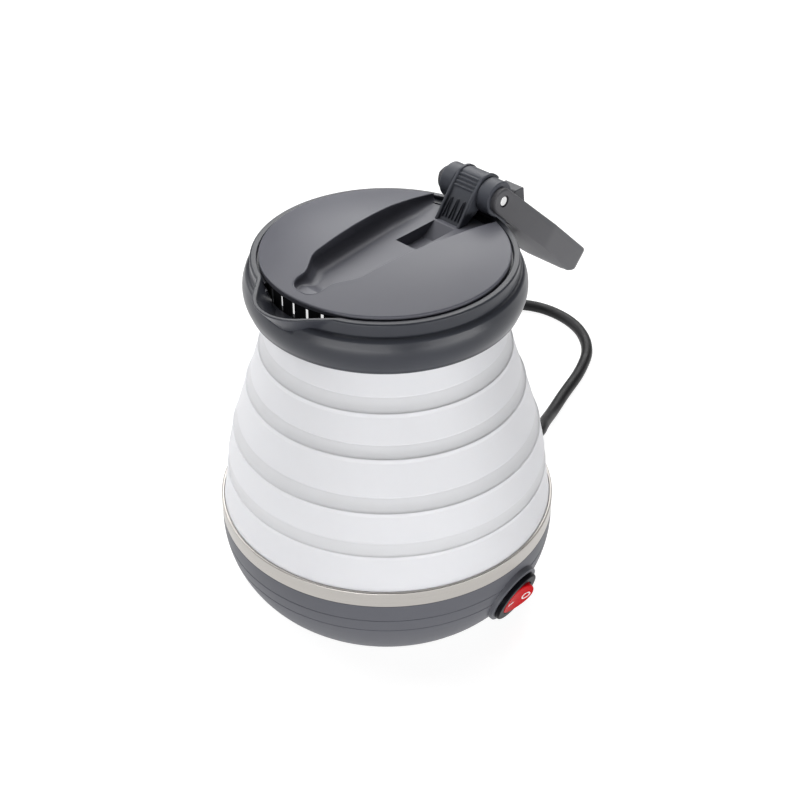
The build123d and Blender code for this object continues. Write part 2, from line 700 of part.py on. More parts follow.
def internal_wires():
    at = switch_place()
    tab_z = SWITCH_BOSS_OUT - SWITCH_BODY_L - TAB_L
    tab_a = at.from_local_coords(Vector(TAB_STEP / 2, 0, tab_z))
    tab_b = at.from_local_coords(Vector(-TAB_STEP / 2, 0, tab_z))
    stub_a = at.from_local_coords(Vector(TAB_STEP / 2, 0, tab_z - WIRE_STUB_L))
    stub_b = at.from_local_coords(Vector(-TAB_STEP / 2, 0, tab_z - WIRE_STUB_L))
    lead_a = at.from_local_coords(Vector(TAB_STEP / 2, -WIRE_DROP, tab_z - WIRE_IN_L))
    lead_b = at.from_local_coords(Vector(-TAB_STEP / 2, -WIRE_DROP, tab_z - WIRE_IN_L))
    half_l, half_w = BLOCK_L / 2, BLOCK_W / 2
    mid_z = COVER_TOP_Z + BLOCK_H / 2
    rear_y = BLOCK_OUT + half_w
    flange_y = RELIEF_BOSS_Y - RELIEF_FLANGE_T
    fuse_half = FUSE_L / 2
    pin_x, pin_y = element_ends()[0]
    pin_z = element_z() - ELEMENT_PIN_L
    low_z = pin_z - THERMOSTAT_R
    wires = [
        wire(
            (side * WIRE_STEP, flange_y, CORD_EXIT_Z), (side * WIRE_STEP, flange_y - half_w, CORD_EXIT_Z),
            (side * WIRE_STEP, rear_y + half_w, mid_z), (side * WIRE_STEP, rear_y, mid_z),
        )
        for side in (-1, 1)
    ]
    wires.append(wire(
        (half_l, BLOCK_OUT - WIRE_STEP, mid_z), (half_l + BLOCK_H, BLOCK_OUT - WIRE_STEP, mid_z),
        lead_a, stub_a, tab_a,
    ))
    wires.append(wire(
        tab_b, stub_b, lead_b, (half_l + BLOCK_H / 2, -FUSE_OUT, fuse_z()), (fuse_half, -FUSE_OUT, fuse_z()),
    ))
    wires.append(wire(
        (-fuse_half, -FUSE_OUT, fuse_z()), (-half_l - BLOCK_H / 2, -FUSE_OUT, fuse_z()),
        (-pin_x - THERMOSTAT_R, -THERMOSTAT_R, low_z), (-pin_x - FUSE_R, pin_y - BLOCK_W, low_z - FUSE_R),
        (-pin_x, pin_y, low_z), (-pin_x, pin_y, pin_z),
    ))
    wires.append(wire(
        (half_l, BLOCK_OUT + WIRE_STEP, mid_z), (pin_x - FUSE_R, BLOCK_OUT + WIRE_STEP, mid_z),
        (pin_x, pin_y, low_z), (pin_x, pin_y, pin_z),
    ))
    return group(wires)


# Switch

def rocker_z():
    return SWITCH_BOSS_OUT + SWITCH_BEZEL_T - ROCKER_PIVOT_DROP


def rocker_pivot(grow=0.0):
    half_l = ROCKER_R + ROCKER_PIVOT_L + grow
    return Pos(0, 0, rocker_z()) * Rot(90, 0, 0) * Cylinder(ROCKER_PIVOT_R + grow, 2 * half_l)


def switch_body():
    bezel_top = SWITCH_BOSS_OUT + SWITCH_BEZEL_T
    bezel = rod(SWITCH_BEZEL_R, SWITCH_BOSS_OUT, bezel_top)
    bezel = fillet(bezel.edges().sort_by(Axis.Z)[-1], SWITCH_BEZEL_ROUND)
    body = rod(SWITCH_BODY_R, SWITCH_BOSS_OUT - SWITCH_BODY_L, SWITCH_BOSS_OUT) + bezel
    body -= rod(ROCKER_R + ROCKER_GAP, rocker_z() - ROCKER_WELL, bezel_top + OVERRUN)
    return switch_place() * (body - rocker_pivot(SEAT_GAP))


def switch_rocker():
    dish_r = (ROCKER_R**2 + ROCKER_DISH**2) / (2 * ROCKER_DISH)
    button = Cylinder(ROCKER_R, 2 * ROCKER_HALF_H)
    button -= Pos(0, 0, ROCKER_HALF_H - ROCKER_DISH + dish_r) * Rot(90, 0, 0) * Cylinder(dish_r, 4 * ROCKER_R)
    tipped = Pos(0, 0, rocker_z()) * Rot(0, -ROCKER_THROW / 2, 0) * button
    return switch_place() * (tipped + rocker_pivot())


def switch_terminals():
    top = SWITCH_BOSS_OUT - SWITCH_BODY_L
    tabs = [Pos(side * TAB_STEP / 2, 0, top - TAB_L / 2) * Box(TAB_T, TAB_W, TAB_L) for side in (-1, 1)]
    return group(switch_place() * tab for tab in tabs)


# Silicone wall

def band(foot_r, lip_r, low, high):
    return turned([
        (foot_r - SILICONE_T, low), (foot_r, low), (lip_r, high), (lip_r - SILICONE_T, high),
    ], [(2, LIP_ROUND)])


def fold(lip_r, foot_r, low, high):
    """The thin wall between the lip of one band and the foot of the next, set back behind both."""
    lower, upper = lip_r - FOLD_SINK, foot_r - FOLD_SINK
    return turned([(lower - FOLD_T, low), (lower, low), (upper, high), (upper - FOLD_T, high)])


def band_4():
    inner = BAND_4_FOOT_R - SILICONE_T
    flange_r = SHELF_R + FLANGE_INSET
    wall = turned([
        (flange_r, BASE_TOP_Z), (BAND_4_FOOT_R, BASE_TOP_Z), (BAND_4_FOOT_R, TRIM_TOP_Z),
        (BAND_4_LIP_R, BAND_4_LIP_Z), (BAND_4_LIP_R - SILICONE_T, BAND_4_LIP_Z),
        (inner, TRIM_TOP_Z), (inner, FLANGE_TOP_Z), (flange_r, FLANGE_TOP_Z),
    ], [(3, LIP_ROUND)])
    return wall - [spot * rod(PAN_SCREW_R + SEAT_GAP, 0, TRIM_TOP_Z) for spot in pan_screw_spots()]


def neck():
    grip_r = NECK_LIP_R - SILICONE_T
    return turned([
        (NECK_FOOT_R - SILICONE_T, NECK_FOOT_Z), (NECK_FOOT_R, NECK_FOOT_Z), (NECK_LIP_R, COLLAR_FOOT_Z),
        (NECK_LIP_R, BEAD_Z), (NECK_LIP_R + NECK_BEAD_OUT, BEAD_Z), (NECK_LIP_R + NECK_BEAD_OUT, NECK_TOP_Z),
        (grip_r, NECK_TOP_Z), (grip_r, COLLAR_FOOT_Z),
    ])


# Collar

def clamp_ring():
    outer = NECK_LIP_R - SILICONE_T - SEAT_GAP
    inner = outer - CLAMP_WALL
    flange_r = NECK_LIP_R + NECK_BEAD_OUT
    return turned([
        (inner, COLLAR_FOOT_Z - CLAMP_DROP), (outer, COLLAR_FOOT_Z - CLAMP_DROP), (outer, NECK_TOP_Z),
        (flange_r, NECK_TOP_Z), (flange_r, CLAMP_TOP_Z), (inner, CLAMP_TOP_Z),
    ])


def collar_ring():
    """The collar without spout or hinge: barrel wall, rim, lid seat and the groove that hollows it."""
    bore = NECK_LIP_R + SEAT_GAP
    bulge_r = (COLLAR_FOOT_R + SHOULDER_R) / 2 + COLLAR_BULGE
    skin_r = COLLAR_FOOT_R - COLLAR_SKIN
    roof_z = SHOULDER_Z - COLLAR_ROOF_T
    wall_low = COLLAR_FOOT_Z + COLLAR_FOOT_ROUND
    foot_out = (COLLAR_FOOT_R - COLLAR_FOOT_ROUND, COLLAR_FOOT_Z)
    foot_mid = (COLLAR_FOOT_R - COLLAR_FOOT_ROUND * (1 - cos(pi / 4)), wall_low - COLLAR_FOOT_ROUND * sin(pi / 4))
    outline = [
        ThreePointArc(foot_out, foot_mid, (COLLAR_FOOT_R, wall_low)),
        ThreePointArc(
            (COLLAR_FOOT_R, wall_low), (bulge_r, (wall_low + SHOULDER_Z) / 2), (SHOULDER_R, SHOULDER_Z)
        ),
        Polyline(
            (SHOULDER_R, SHOULDER_Z), (RIM_R, SHOULDER_Z), (RIM_R, RIM_TOP_Z), (SEAT_R, RIM_TOP_Z),
            (SEAT_R, SEAT_Z), (MOUTH_R, SEAT_Z), (MOUTH_R, BEAD_Z - SEAT_GAP), (bore, BEAD_Z - SEAT_GAP),
            (bore, COLLAR_FOOT_Z), (WEB_R, COLLAR_FOOT_Z), (WEB_R, roof_z), (skin_r, roof_z),
            (skin_r, COLLAR_FOOT_Z), foot_out,
        ),
    ]
    face = make_face(Curve() + outline)
    rim_corner = face.vertices().sort_by_distance(Vector(RIM_R, RIM_TOP_Z))[0]
    return revolve(Plane.XZ * fillet(rim_corner, RIM_ROUND), Axis.Z)


def spout_outline(inset, tip_round):
    """A V that opens at the sides' angle from the spout's line, with a round tip and a closed root."""
    angle = radians(SPOUT_SIDE_ANGLE)
    apex = SPOUT_TIP_R + SPOUT_TIP_ROUND * (1 / sin(angle) - 1) - inset / sin(angle)
    centre = apex - tip_round / sin(angle)
    side = (tip_round * cos(angle), -centre - tip_round * sin(angle))
    root_x = (apex - SPOUT_ROOT_Y) * tan(angle)
    right, left = (root_x, -SPOUT_ROOT_Y), (-root_x, -SPOUT_ROOT_Y)
    return make_face(Curve() + [
        Line(right, side),
        ThreePointArc(side, (0, -centre - tip_round), (-side[0], side[1])),
        Line((-side[0], side[1]), left),
        Line(left, right),
    ])


def spout_solid(inset, low):
    """The spout leans out from its foot to its lip; inset takes it inside the wall."""
    foot = Pos(0, 0, low) * spout_outline(SPOUT_LEAN + inset, SPOUT_FOOT_ROUND - inset)
    lip = Pos(0, 0, SPOUT_TOP_Z) * spout_outline(inset, SPOUT_TIP_ROUND - inset)
    return loft([foot, lip])


def spout_way():
    """What is cut out of the collar so that water reaches the spout."""
    half = (SPOUT_TIP_R + SPOUT_TIP_ROUND * (1 / sin(radians(SPOUT_SIDE_ANGLE)) - 1) - SPOUT_ROOT_Y)
    root_x = half * tan(radians(SPOUT_SIDE_ANGLE)) - SPOUT_WALL / cos(radians(SPOUT_SIDE_ANGLE))
    inner_x = root_x * (MOUTH_R - STRAINER_T) / SEAT_R
    inner_y = SPOUT_ROOT_Y * (MOUTH_R - STRAINER_T) / SEAT_R
    passage = make_face(Polyline(
        (root_x, -SPOUT_ROOT_Y), (inner_x, -inner_y), (-inner_x, -inner_y), (-root_x, -SPOUT_ROOT_Y), close=True,
    ))
    passage = Pos(0, 0, SPOUT_FLOOR_Z) * extrude(passage, SPOUT_TOP_Z - SPOUT_FLOOR_Z + OVERRUN)
    return spout_solid(SPOUT_WALL, SPOUT_FLOOR_Z) + passage


def strainer_shell(grow=0.0):
    plate = ring(STRAINER_R + grow, STRAINER_R - STRAINER_T - grow, SPOUT_FLOOR_Z - grow, SEAT_Z + grow)
    half = radians(STRAINER_SPAN / 2) + grow / STRAINER_R
    wedge = make_face(Polyline((0, 0), (REACH * sin(half), -REACH * cos(half)),
                               (-REACH * sin(half), -REACH * cos(half)), close=True))
    return plate & extrude(wedge, REACH)


def spout_strainer():
    low, high = SPOUT_FLOOR_Z + STRAINER_EDGE, SEAT_Z - STRAINER_EDGE
    slot = block(-STRAINER_SLOT_W / 2, STRAINER_SLOT_W / 2, -REACH, 0, low, high)
    first = -STRAINER_SLOT_ANGLE * (STRAINER_SLOTS - 1) / 2
    turns = [first + k * STRAINER_SLOT_ANGLE for k in range(STRAINER_SLOTS)]
    return strainer_shell() - [Rot(0, 0, turn) * slot for turn in turns]


def hinge_stand():
    """Deck behind the rim, two pillars and the two drums that carry the pin."""
    deck_low = RIM_TOP_Z - DECK_T
    back_y = HINGE_Y + PILLAR_BACK
    stand = block(-KNUCKLE_OUT, KNUCKLE_OUT, HINGE_Y - DECK_FRONT, back_y, deck_low, RIM_TOP_Z - DECK_GAP)
    for side in (-1, 1):
        inner, outer = sorted((side * KNUCKLE_IN, side * KNUCKLE_OUT))
        stand += block(inner, outer, HINGE_Y - PILLAR_FRONT, back_y, deck_low, HINGE_Z)
        drum = Pos(side * (KNUCKLE_IN + KNUCKLE_OUT) / 2, HINGE_Y, HINGE_Z) * Rot(0, 90, 0)
        stand += drum * Cylinder(KNUCKLE_R, KNUCKLE_OUT - KNUCKLE_IN)
    return stand


def rear_shelf():
    """Closes the mouth behind the lid's notch."""
    top = SEAT_Z - REAR_SHELF_DROP + REAR_SHELF_T
    half_w = NOTCH_HALF_W - SHELF_GAP
    plate = block(-half_w, half_w, LID_REAR_Y + SHELF_GAP, REACH, top - REAR_SHELF_T, top)
    return plate & rod(WEB_R, 0, REACH)


def collar():
    mouth = rod(MOUTH_R, BEAD_Z, REACH) + rod(SEAT_R, SEAT_Z, REACH)
    spout = spout_solid(0, SPOUT_FOOT_Z) - mouth
    body = collar_ring() + spout - spout_way() + hinge_stand() + rear_shelf()
    body -= strainer_shell(SEAT_GAP)
    return body - cross_rod(PIN_HOLE_R, REACH, HINGE_Y, HINGE_Z)


# Lid

def dome_z(radius):
    """Height of the lid's outer face at a radius."""
    return CROWN_Z - DOME_R + sqrt(DOME_R**2 - radius**2)


def dome(radius, low, drop):
    """Half section under the lid's dome, lowered by drop, out to a radius."""
    edge_z, half_r = dome_z(radius) - drop, radius / 2
    face = make_face(Curve() + [
        Polyline((0, CROWN_Z - drop), (0, low), (radius, low), (radius, edge_z)),
        ThreePointArc((radius, edge_z), (half_r, dome_z(half_r) - drop), (0, CROWN_Z - drop)),
    ])
    return face


def dome_solid(radius, low, drop, edge_round=0.0):
    face = dome(radius, low, drop)
    if edge_round:
        corner = face.vertices().sort_by_distance(Vector(radius, dome_z(radius) - drop))[0]
        face = fillet(corner, edge_round)
    return revolve(Plane.XZ * face, Axis.Z)


def trough_outline(grow=0.0):
    """Plan of the trough: wide at the hinge, following the handle, with a rounded ear past its tip."""
    corners = [
        (TROUGH_REAR_HALF_W, TROUGH_REAR_Y), (TROUGH_FRONT_HALF_W, TROUGH_FRONT_Y),
        (TROUGH_NECK_HALF_W, TROUGH_NECK_Y), (TROUGH_TIP_HALF_W, TROUGH_TIP_Y),
    ]
    rounds = [TROUGH_REAR_ROUND, TROUGH_FRONT_ROUND, TROUGH_NECK_ROUND, TROUGH_TIP_ROUND]
    left = [(-x, y) for x, y in reversed(corners)]
    ends = [(side * TROUGH_REAR_HALF_W, LID_R + OVERRUN) for side in (1, -1)]
    edge = FilletPolyline(ends[0], *corners, *left, ends[1], radius=rounds + rounds[::-1])
    face = make_face(Curve() + [edge, Line(ends[1], ends[0])])
    return offset(face, grow) if grow else face


def pocket_face(grow=0.0):
    """Side view of the pocket for the release button, with its ramp at the rear."""
    low = TROUGH_Z - POCKET_DEPTH
    top = TROUGH_Z + OVERRUN
    face = make_face(Polyline(
        (POCKET_FRONT_Y, top), (POCKET_FRONT_Y, low), (POCKET_REAR_Y - POCKET_RAMP_L, low),
        (POCKET_REAR_Y, TROUGH_Z), (POCKET_REAR_Y, top), close=True,
    ))
    return offset(face, grow, kind=Kind.INTERSECTION) if grow else face


def pocket(grow=0.0):
    return extrude(Plane.YZ * pocket_face(grow), POCKET_HALF_W + grow, both=True)


def trough_space():
    """The room that the trough, its finger recess and the pocket take out of the lid."""
    deep = extrude(Pos(0, 0, TROUGH_Z) * trough_outline(), REACH)
    deep = fillet(deep.faces().sort_by(Axis.Z)[0].edges(), TROUGH_BOTTOM_ROUND)
    rise = block(-TROUGH_REAR_HALF_W, TROUGH_REAR_HALF_W, -LID_R, FINGER_Y, 0, TROUGH_Z + FINGER_RISE)
    return deep - rise + pocket()


def rear_notch(front_y):
    return block(-NOTCH_HALF_W, NOTCH_HALF_W, front_y, REACH, 0, REACH)


def trough_tub(grow=0.0):
    """The trough's own walls and floor as one solid block, before the space is taken out."""
    tub = extrude(Pos(0, 0, TROUGH_Z - LID_SKIN - grow) * trough_outline(LID_SKIN + grow), REACH)
    bowl = pocket(LID_SKIN + grow) & rod(LINER_R, 0, TROUGH_Z)
    return tub + bowl


def lid_cover():
    skin = dome_solid(LID_R, LID_FOOT_Z, 0, LID_EDGE_ROUND)
    inside = dome_solid(LINER_R - LINER_WALL, LID_FOOT_Z, LID_SKIN)
    room = skin + rod(LINER_R, 0, LID_FOOT_Z)
    shell = skin - inside + (trough_tub() & room)
    return shell - trough_space() - rear_notch(LID_REAR_Y)


def liner_plan(inset):
    radius = LINER_R - inset
    notch = Rectangle(2 * (NOTCH_HALF_W + inset), REACH, align=(Align.CENTER, Align.MIN))
    return Circle(radius) - Pos(0, LINER_REAR_Y - inset) * notch


def lid_liner():
    low = LID_FOOT_Z - LINER_H
    cup = Pos(0, 0, low) * extrude(liner_plan(0), LINER_H)
    cup -= Pos(0, 0, low + LINER_WALL) * extrude(liner_plan(LINER_WALL), LINER_H)
    return cup - trough_tub(SEAT_GAP)


def lid_seal():
    seal = ring(LID_R - SEAL_INSET, LINER_R + SEAT_GAP, SEAT_Z, LID_FOOT_Z)
    return seal - rear_notch(LINER_REAR_Y) - trough_tub(SEAT_GAP)


def arm_profile():
    knee = (ARM_KNEE_Y, TROUGH_Z + ARM_KNEE_RISE)
    top = Vector(ARM_TOP_Y, TROUGH_Z + ARM_TOP_RISE)
    pin = Vector(HINGE_Y, HINGE_Z)
    radius = (top - pin).length
    start = atan2(top.Y - pin.Y, top.X - pin.X)
    end = radians(ARM_BACK_ANGLE)
    middle = (start + end) / 2
    back = (pin.X + radius * cos(end), pin.Y + radius * sin(end))
    crown = (pin.X + radius * cos(middle), pin.Y + radius * sin(middle))
    return make_face(Curve() + [
        Polyline((ARM_FOOT_FRONT_Y, TROUGH_Z), knee, top),
        ThreePointArc(top, crown, back),
        Polyline(back, pin, (ARM_FOOT_REAR_Y, TROUGH_Z), (ARM_FOOT_FRONT_Y, TROUGH_Z)),
    ])


def arm_face_place(low, high):
    """A plane on the arm's front between two (Y, Z) corners, looking out, with its Y up the face."""
    run = Vector(0, high[0] - low[0], high[1] - low[1]).normalized()
    middle = (0, (low[0] + high[0]) / 2, (low[1] + high[1]) / 2)
    return Plane(origin=middle, x_dir=(1, 0, 0), z_dir=(0, -run.Z, run.Y))


def lid_arm():
    foot = (ARM_FOOT_FRONT_Y, TROUGH_Z)
    knee = (ARM_KNEE_Y, TROUGH_Z + ARM_KNEE_RISE)
    top = (ARM_TOP_Y, TROUGH_Z + ARM_TOP_RISE)
    arm = extrude(Plane.YZ * arm_profile(), ARM_HALF_W, both=True)
    front = make_face(Polyline(
        (ARM_FOOT_HALF_W, TROUGH_Z), (ARM_HALF_W, knee[1]), (ARM_HALF_W, TROUGH_Z + REACH),
        (-ARM_HALF_W, TROUGH_Z + REACH), (-ARM_HALF_W, knee[1]), (-ARM_FOOT_HALF_W, TROUGH_Z), close=True,
    ))
    arm &= extrude(Plane.XZ * front, REACH, both=True)
    arm += cross_rod(ARM_EYE_R, ARM_HALF_W, HINGE_Y, HINGE_Z)
    flute = Rot(0, 45, 0) * Box(ARM_FLUTE_W / sqrt(2), ARM_FLUTE_L, ARM_FLUTE_W / sqrt(2))
    face = arm_face_place(foot, knee)
    columns = [ARM_FLUTE_STEP * (k - (ARM_FLUTES - 1) / 2) for k in range(ARM_FLUTES)]
    arm -= [face * Pos(x, 0, 0) * flute for x in columns]
    ridge = Rot(45, 0, 0) * Box(REACH, ARM_RIDGE_W / sqrt(2), ARM_RIDGE_W / sqrt(2))
    face = arm_face_place(knee, top)
    rows = [ARM_RIDGE_STEP * (k - (ARM_RIDGES - 1) / 2) for k in range(ARM_RIDGES)]
    arm -= [face * Pos(0, y, 0) * ridge for y in rows]
    return arm - cross_rod(PIN_HOLE_R, REACH, HINGE_Y, HINGE_Z)


def hinge_pin():
    return cross_rod(PIN_R, HANDLE_HALF_W - PIN_SINK, HINGE_Y, HINGE_Z)


# Handle, drawn with its length along Y and its outer face up

def handle_place():
    return Pos(0, HINGE_Y, HINGE_Z) * Rot(-HANDLE_DROOP, 0, 0)


def handle_side(inset=0.0):
    """Side view of the handle, or of what lies a wall inside it."""
    corners = [
        (HANDLE_L - inset, HANDLE_OUTER_H - inset),
        (HANDLE_L - inset, -HANDLE_TIP_H + inset / 2),
        (HANDLE_BEND_AT - inset / 2, -HANDLE_BEND_H + inset),
        (HANDLE_CREST_TO, -HANDLE_CREST_H + inset),
        (HANDLE_CREST_FROM, -HANDLE_CREST_H + inset),
        (HANDLE_SLOT_L, -HANDLE_PLATE_H + inset),
    ]
    rounds = [
        HANDLE_NOSE_ROUND - inset, HANDLE_HEEL_ROUND - inset, HANDLE_BEND_ROUND, HANDLE_CREST_ROUND,
        HANDLE_SLOPE_ROUND, HANDLE_SLOPE_ROUND,
    ]
    top, foot = (0, HANDLE_OUTER_H - inset), (0, -HANDLE_PLATE_H + inset)
    eye = (inset - HANDLE_EYE_R, (HANDLE_OUTER_H - HANDLE_PLATE_H) / 2)
    return make_face(Curve() + [
        FilletPolyline(top, *corners, foot, radius=rounds), ThreePointArc(foot, eye, top),
    ])


def handle_plan():
    """Plan of the handle: parallel by the hinge, tapering to a rounded tip."""
    face = make_face(Polyline(
        (-HANDLE_HALF_W, -HANDLE_L), (HANDLE_HALF_W, -HANDLE_L), (HANDLE_HALF_W, HANDLE_WAIST_AT),
        (HANDLE_TIP_HALF_W, HANDLE_L), (-HANDLE_TIP_HALF_W, HANDLE_L), (-HANDLE_HALF_W, HANDLE_WAIST_AT),
        close=True,
    ))
    return fillet(face.vertices().sort_by(Axis.Y)[-2:], HANDLE_TIP_ROUND)


def handle_section():
    """End view of the handle: flat outside, arched inside."""
    return make_face(Curve() + [
        Polyline(
            (HANDLE_HALF_W, -HANDLE_SIDE_H), (HANDLE_HALF_W, HANDLE_OUTER_H),
            (-HANDLE_HALF_W, HANDLE_OUTER_H), (-HANDLE_HALF_W, -HANDLE_SIDE_H),
        ),
        ThreePointArc((-HANDLE_HALF_W, -HANDLE_SIDE_H), (0, -HANDLE_CREST_H), (HANDLE_HALF_W, -HANDLE_SIDE_H)),
    ])


def handle_form(inset=0.0):
    """The handle's outer form, or what lies a wall inside it."""
    plan, section = handle_plan(), handle_section()
    if inset:
        plan, section = offset(plan, -inset), offset(section, -inset)
    form = extrude(Plane.YZ * handle_side(inset), REACH, both=True)
    form &= extrude(plan, REACH, both=True)
    return form & extrude(Plane.XZ * section, REACH, both=True)


def lengthways(y_low, y_high, z_low, z_high, half_w=REACH):
    return block(-half_w, half_w, y_low, y_high, z_low, z_high)


def cover_form(inset, low, high):
    """A slice of the outer face's plan, inset from the handle's sides and its slot."""
    plan = offset(handle_plan(), -HANDLE_COVER_RIM - inset)
    front = HANDLE_SLOT_L + HANDLE_COVER_RIM + inset
    back = HANDLE_L - HANDLE_NOSE_ROUND - inset
    return Pos(0, 0, low) * extrude(plan, high - low) & lengthways(front, back, low, high)


def handle_screw_spots():
    return [Pos(0, place, 0) for place in (HANDLE_SCREW_FIRST, HANDLE_SCREW_SECOND)]


def button_spot():
    return Pos(0, (BUTTON_FRONT + BUTTON_REAR) / 2, 0)


def handle():
    form = handle_form()
    cavity = handle_form(HANDLE_WALL) & lengthways(HANDLE_SLOT_L + HANDLE_END_WALL, REACH, -REACH, REACH)
    opening = cover_form(HANDLE_COVER_LEDGE, 0, HANDLE_OUTER_H + OVERRUN)
    opening &= lengthways(HANDLE_SLOT_L + HANDLE_END_WALL, REACH, 0, REACH)
    inside = cavity + opening
    post = rod(HANDLE_SCREW_R + HANDLE_WALL, -HANDLE_CREST_H, COVER_SEAT_H)
    seat = rod(SPRING_SEAT_R, -HANDLE_CREST_H, -SPRING_SEAT_H)
    inside -= [spot * post for spot in handle_screw_spots()]
    inside -= button_spot() * seat
    body = form - inside - cover_form(0, COVER_SEAT_H, HANDLE_OUTER_H + OVERRUN)
    body -= [spot * rod(HANDLE_SCREW_R + SEAT_GAP, COVER_SEAT_H - HANDLE_SCREW_L, REACH) for spot in
             handle_screw_spots()]
    body -= lengthways(-REACH, HANDLE_SLOT_L, -REACH, REACH, SLOT_HALF_W)
    body -= cross_rod(PIN_HOLE_R, REACH, 0, 0)
    for side in (-1, 1):
        eye = Pos(side * (HANDLE_HALF_W - PIN_EYE_DEPTH + OVERRUN / 2)) * Rot(0, 90, 0)
        body -= eye * Cylinder(PIN_EYE_R, OVERRUN)
    return handle_place() * body


def handle_cover():
    plate = cover_form(SEAT_GAP, COVER_SEAT_H, HANDLE_OUTER_H)
    half_w = BUTTON_HALF_W + SLIDE_GAP
    plate -= lengthways(BUTTON_FRONT - SLIDE_GAP, BUTTON_REAR + SLIDE_GAP, 0, REACH, half_w)
    plate -= [spot * rod(HANDLE_SCREW_R + SEAT_GAP, 0, REACH) for spot in handle_screw_spots()]
    head = rod(HANDLE_SCREW_HEAD_R + SEAT_GAP, HANDLE_OUTER_H - HANDLE_SCREW_HEAD_H, REACH)
    return handle_place() * (plate - [spot * head for spot in handle_screw_spots()])


def handle_screws():
    head_low = HANDLE_OUTER_H - HANDLE_SCREW_HEAD_H
    screw = rod(HANDLE_SCREW_HEAD_R, head_low, HANDLE_OUTER_H)
    screw += rod(HANDLE_SCREW_R, COVER_SEAT_H - HANDLE_SCREW_L + SLIDE_GAP, head_low)
    slot = Box(2 * HANDLE_SCREW_R, HANDLE_SCREW_R / 3, HANDLE_SCREW_HEAD_H)
    slot += Box(HANDLE_SCREW_R / 3, 2 * HANDLE_SCREW_R, HANDLE_SCREW_HEAD_H)
    screw -= Pos(0, 0, HANDLE_OUTER_H) * slot
    return group(handle_place() * spot * screw for spot in handle_screw_spots())


def button_flange_low():
    return COVER_SEAT_H - SEAT_GAP - BUTTON_FLANGE_T


def release_button():
    flange_top = COVER_SEAT_H - SEAT_GAP
    wedge = across([
        (BUTTON_FRONT, flange_top),
        (BUTTON_FRONT, HANDLE_OUTER_H + BUTTON_FRONT_RISE),
        (BUTTON_APEX, HANDLE_OUTER_H + BUTTON_RISE),
        (BUTTON_REAR, HANDLE_OUTER_H),
        (BUTTON_REAR, flange_top),
    ], BUTTON_HALF_W)
    out = BUTTON_FLANGE_OUT
    wedge += lengthways(
        BUTTON_FRONT, BUTTON_REAR + out, button_flange_low(), flange_top, BUTTON_HALF_W + out)
    stem_low = -SPRING_SEAT_H + BUTTON_STROKE + SLIDE_GAP
    stem = rod(BUTTON_STEM_R, stem_low, button_flange_low())
    return handle_place() * (wedge + button_spot() * stem)


def button_spring():
    """Plain sleeve of the spring's size, as long as it is when the button is pressed."""
    high = button_flange_low() - BUTTON_STROKE - SLIDE_GAP
    return handle_place() * button_spot() * ring(SPRING_R, SPRING_R - SPRING_WIRE, -SPRING_SEAT_H, high)


# Mains lead

def strain_relief():
    inner_y = RELIEF_BOSS_Y - RELIEF_FLANGE_T
    boot = turned([
        (0, 0), (RELIEF_ROOT_R, 0), (RELIEF_TIP_R, RELIEF_TIP_Y - RELIEF_BOSS_Y), (0, RELIEF_TIP_Y - RELIEF_BOSS_Y),
    ])
    boot = Pos(0, RELIEF_BOSS_Y, CORD_EXIT_Z) * Rot(-90, 0, 0) * boot - bowl(FOOT_STAND, BASE_TOP_Z, SEAT_GAP)
    neck_bar = along_y(RELIEF_NECK_R, RELIEF_BOSS_Y, RELIEF_ROOT_Y + RELIEF_ROOT_R)
    return boot + neck_bar + along_y(RELIEF_FLANGE_R, inner_y, RELIEF_BOSS_Y)


def coil_centre():
    return Vector(COIL_X, COIL_Y, CORD_R)


def on_circle(centre, radius, angle):
    return centre + Vector(radius * cos(radians(angle)), radius * sin(radians(angle)), 0)


def quarter(centre, radius, start):
    """A clockwise quarter turn in the plane."""
    return ThreePointArc(*(on_circle(centre, radius, start - turn) for turn in (0, 45, 90)))


def climb_arcs(start, heading, far):
    """A half turn that rises from one layer to the next in two tilted quarter turns."""
    span = far - start
    radius = span.length / 2
    along = span.normalized()
    slant = 1 - cos(pi / 4)
    middle = start + along * radius + heading * radius
    rising = start + along * (radius * slant) + heading * (radius * sin(pi / 4))
    closing = middle + along * (radius * sin(pi / 4)) - heading * (radius * slant)
    return [ThreePointArc(start, rising, middle), ThreePointArc(middle, closing, far)]


def spiral(centre, radius, angle, step):
    """Quarter turns whose radius changes by step, with the centre moved so that they stay tangent."""
    arcs = []
    for k in range(COIL_SIDE_QUARTERS):
        arcs.append(quarter(centre, radius, angle))
        angle -= 90
        centre += on_circle(Vector(), -step, angle)
        radius += step
    return arcs, centre, radius, angle


def coil_route():
    """Inward on the table, up a layer at the middle, outward on top, with a straight stub at each end."""
    step = COIL_PITCH / 4
    entry = on_circle(coil_centre(), COIL_R, COIL_START)
    heading = on_circle(Vector(), 1, COIL_START - 90)
    arcs, centre, radius, angle = spiral(coil_centre(), COIL_R, COIL_START, -step)
    climb_r = radius - COIL_CLIMB_IN
    start = on_circle(centre, radius, angle)
    climb_c = start - on_circle(Vector(), climb_r, angle)
    lift = Vector(0, 0, 2 * CORD_R + COIL_LAYER_GAP)
    far = on_circle(climb_c, -climb_r, angle) + lift
    arcs += climb_arcs(start, on_circle(Vector(), 1, angle - 90), far)
    top_c = far - on_circle(Vector(), radius, angle - 180)
    upper, centre, radius, angle = spiral(top_c, radius, angle - 180, step)
    arcs += upper
    end = arcs[-1] @ 1
    leave = on_circle(Vector(), 1, angle - 90)
    first = Line(entry - heading * CORD_STUB_L, entry)
    last = Line(end, end + leave * CORD_STUB_L)
    return [first] + arcs + [last]


def tube_along(route, radius):
    path = Wire(route)
    return sweep(Plane(path @ 0, z_dir=path % 0) * Circle(radius), path=path)


def cord_coil():
    return tube_along(coil_route(), CORD_R)


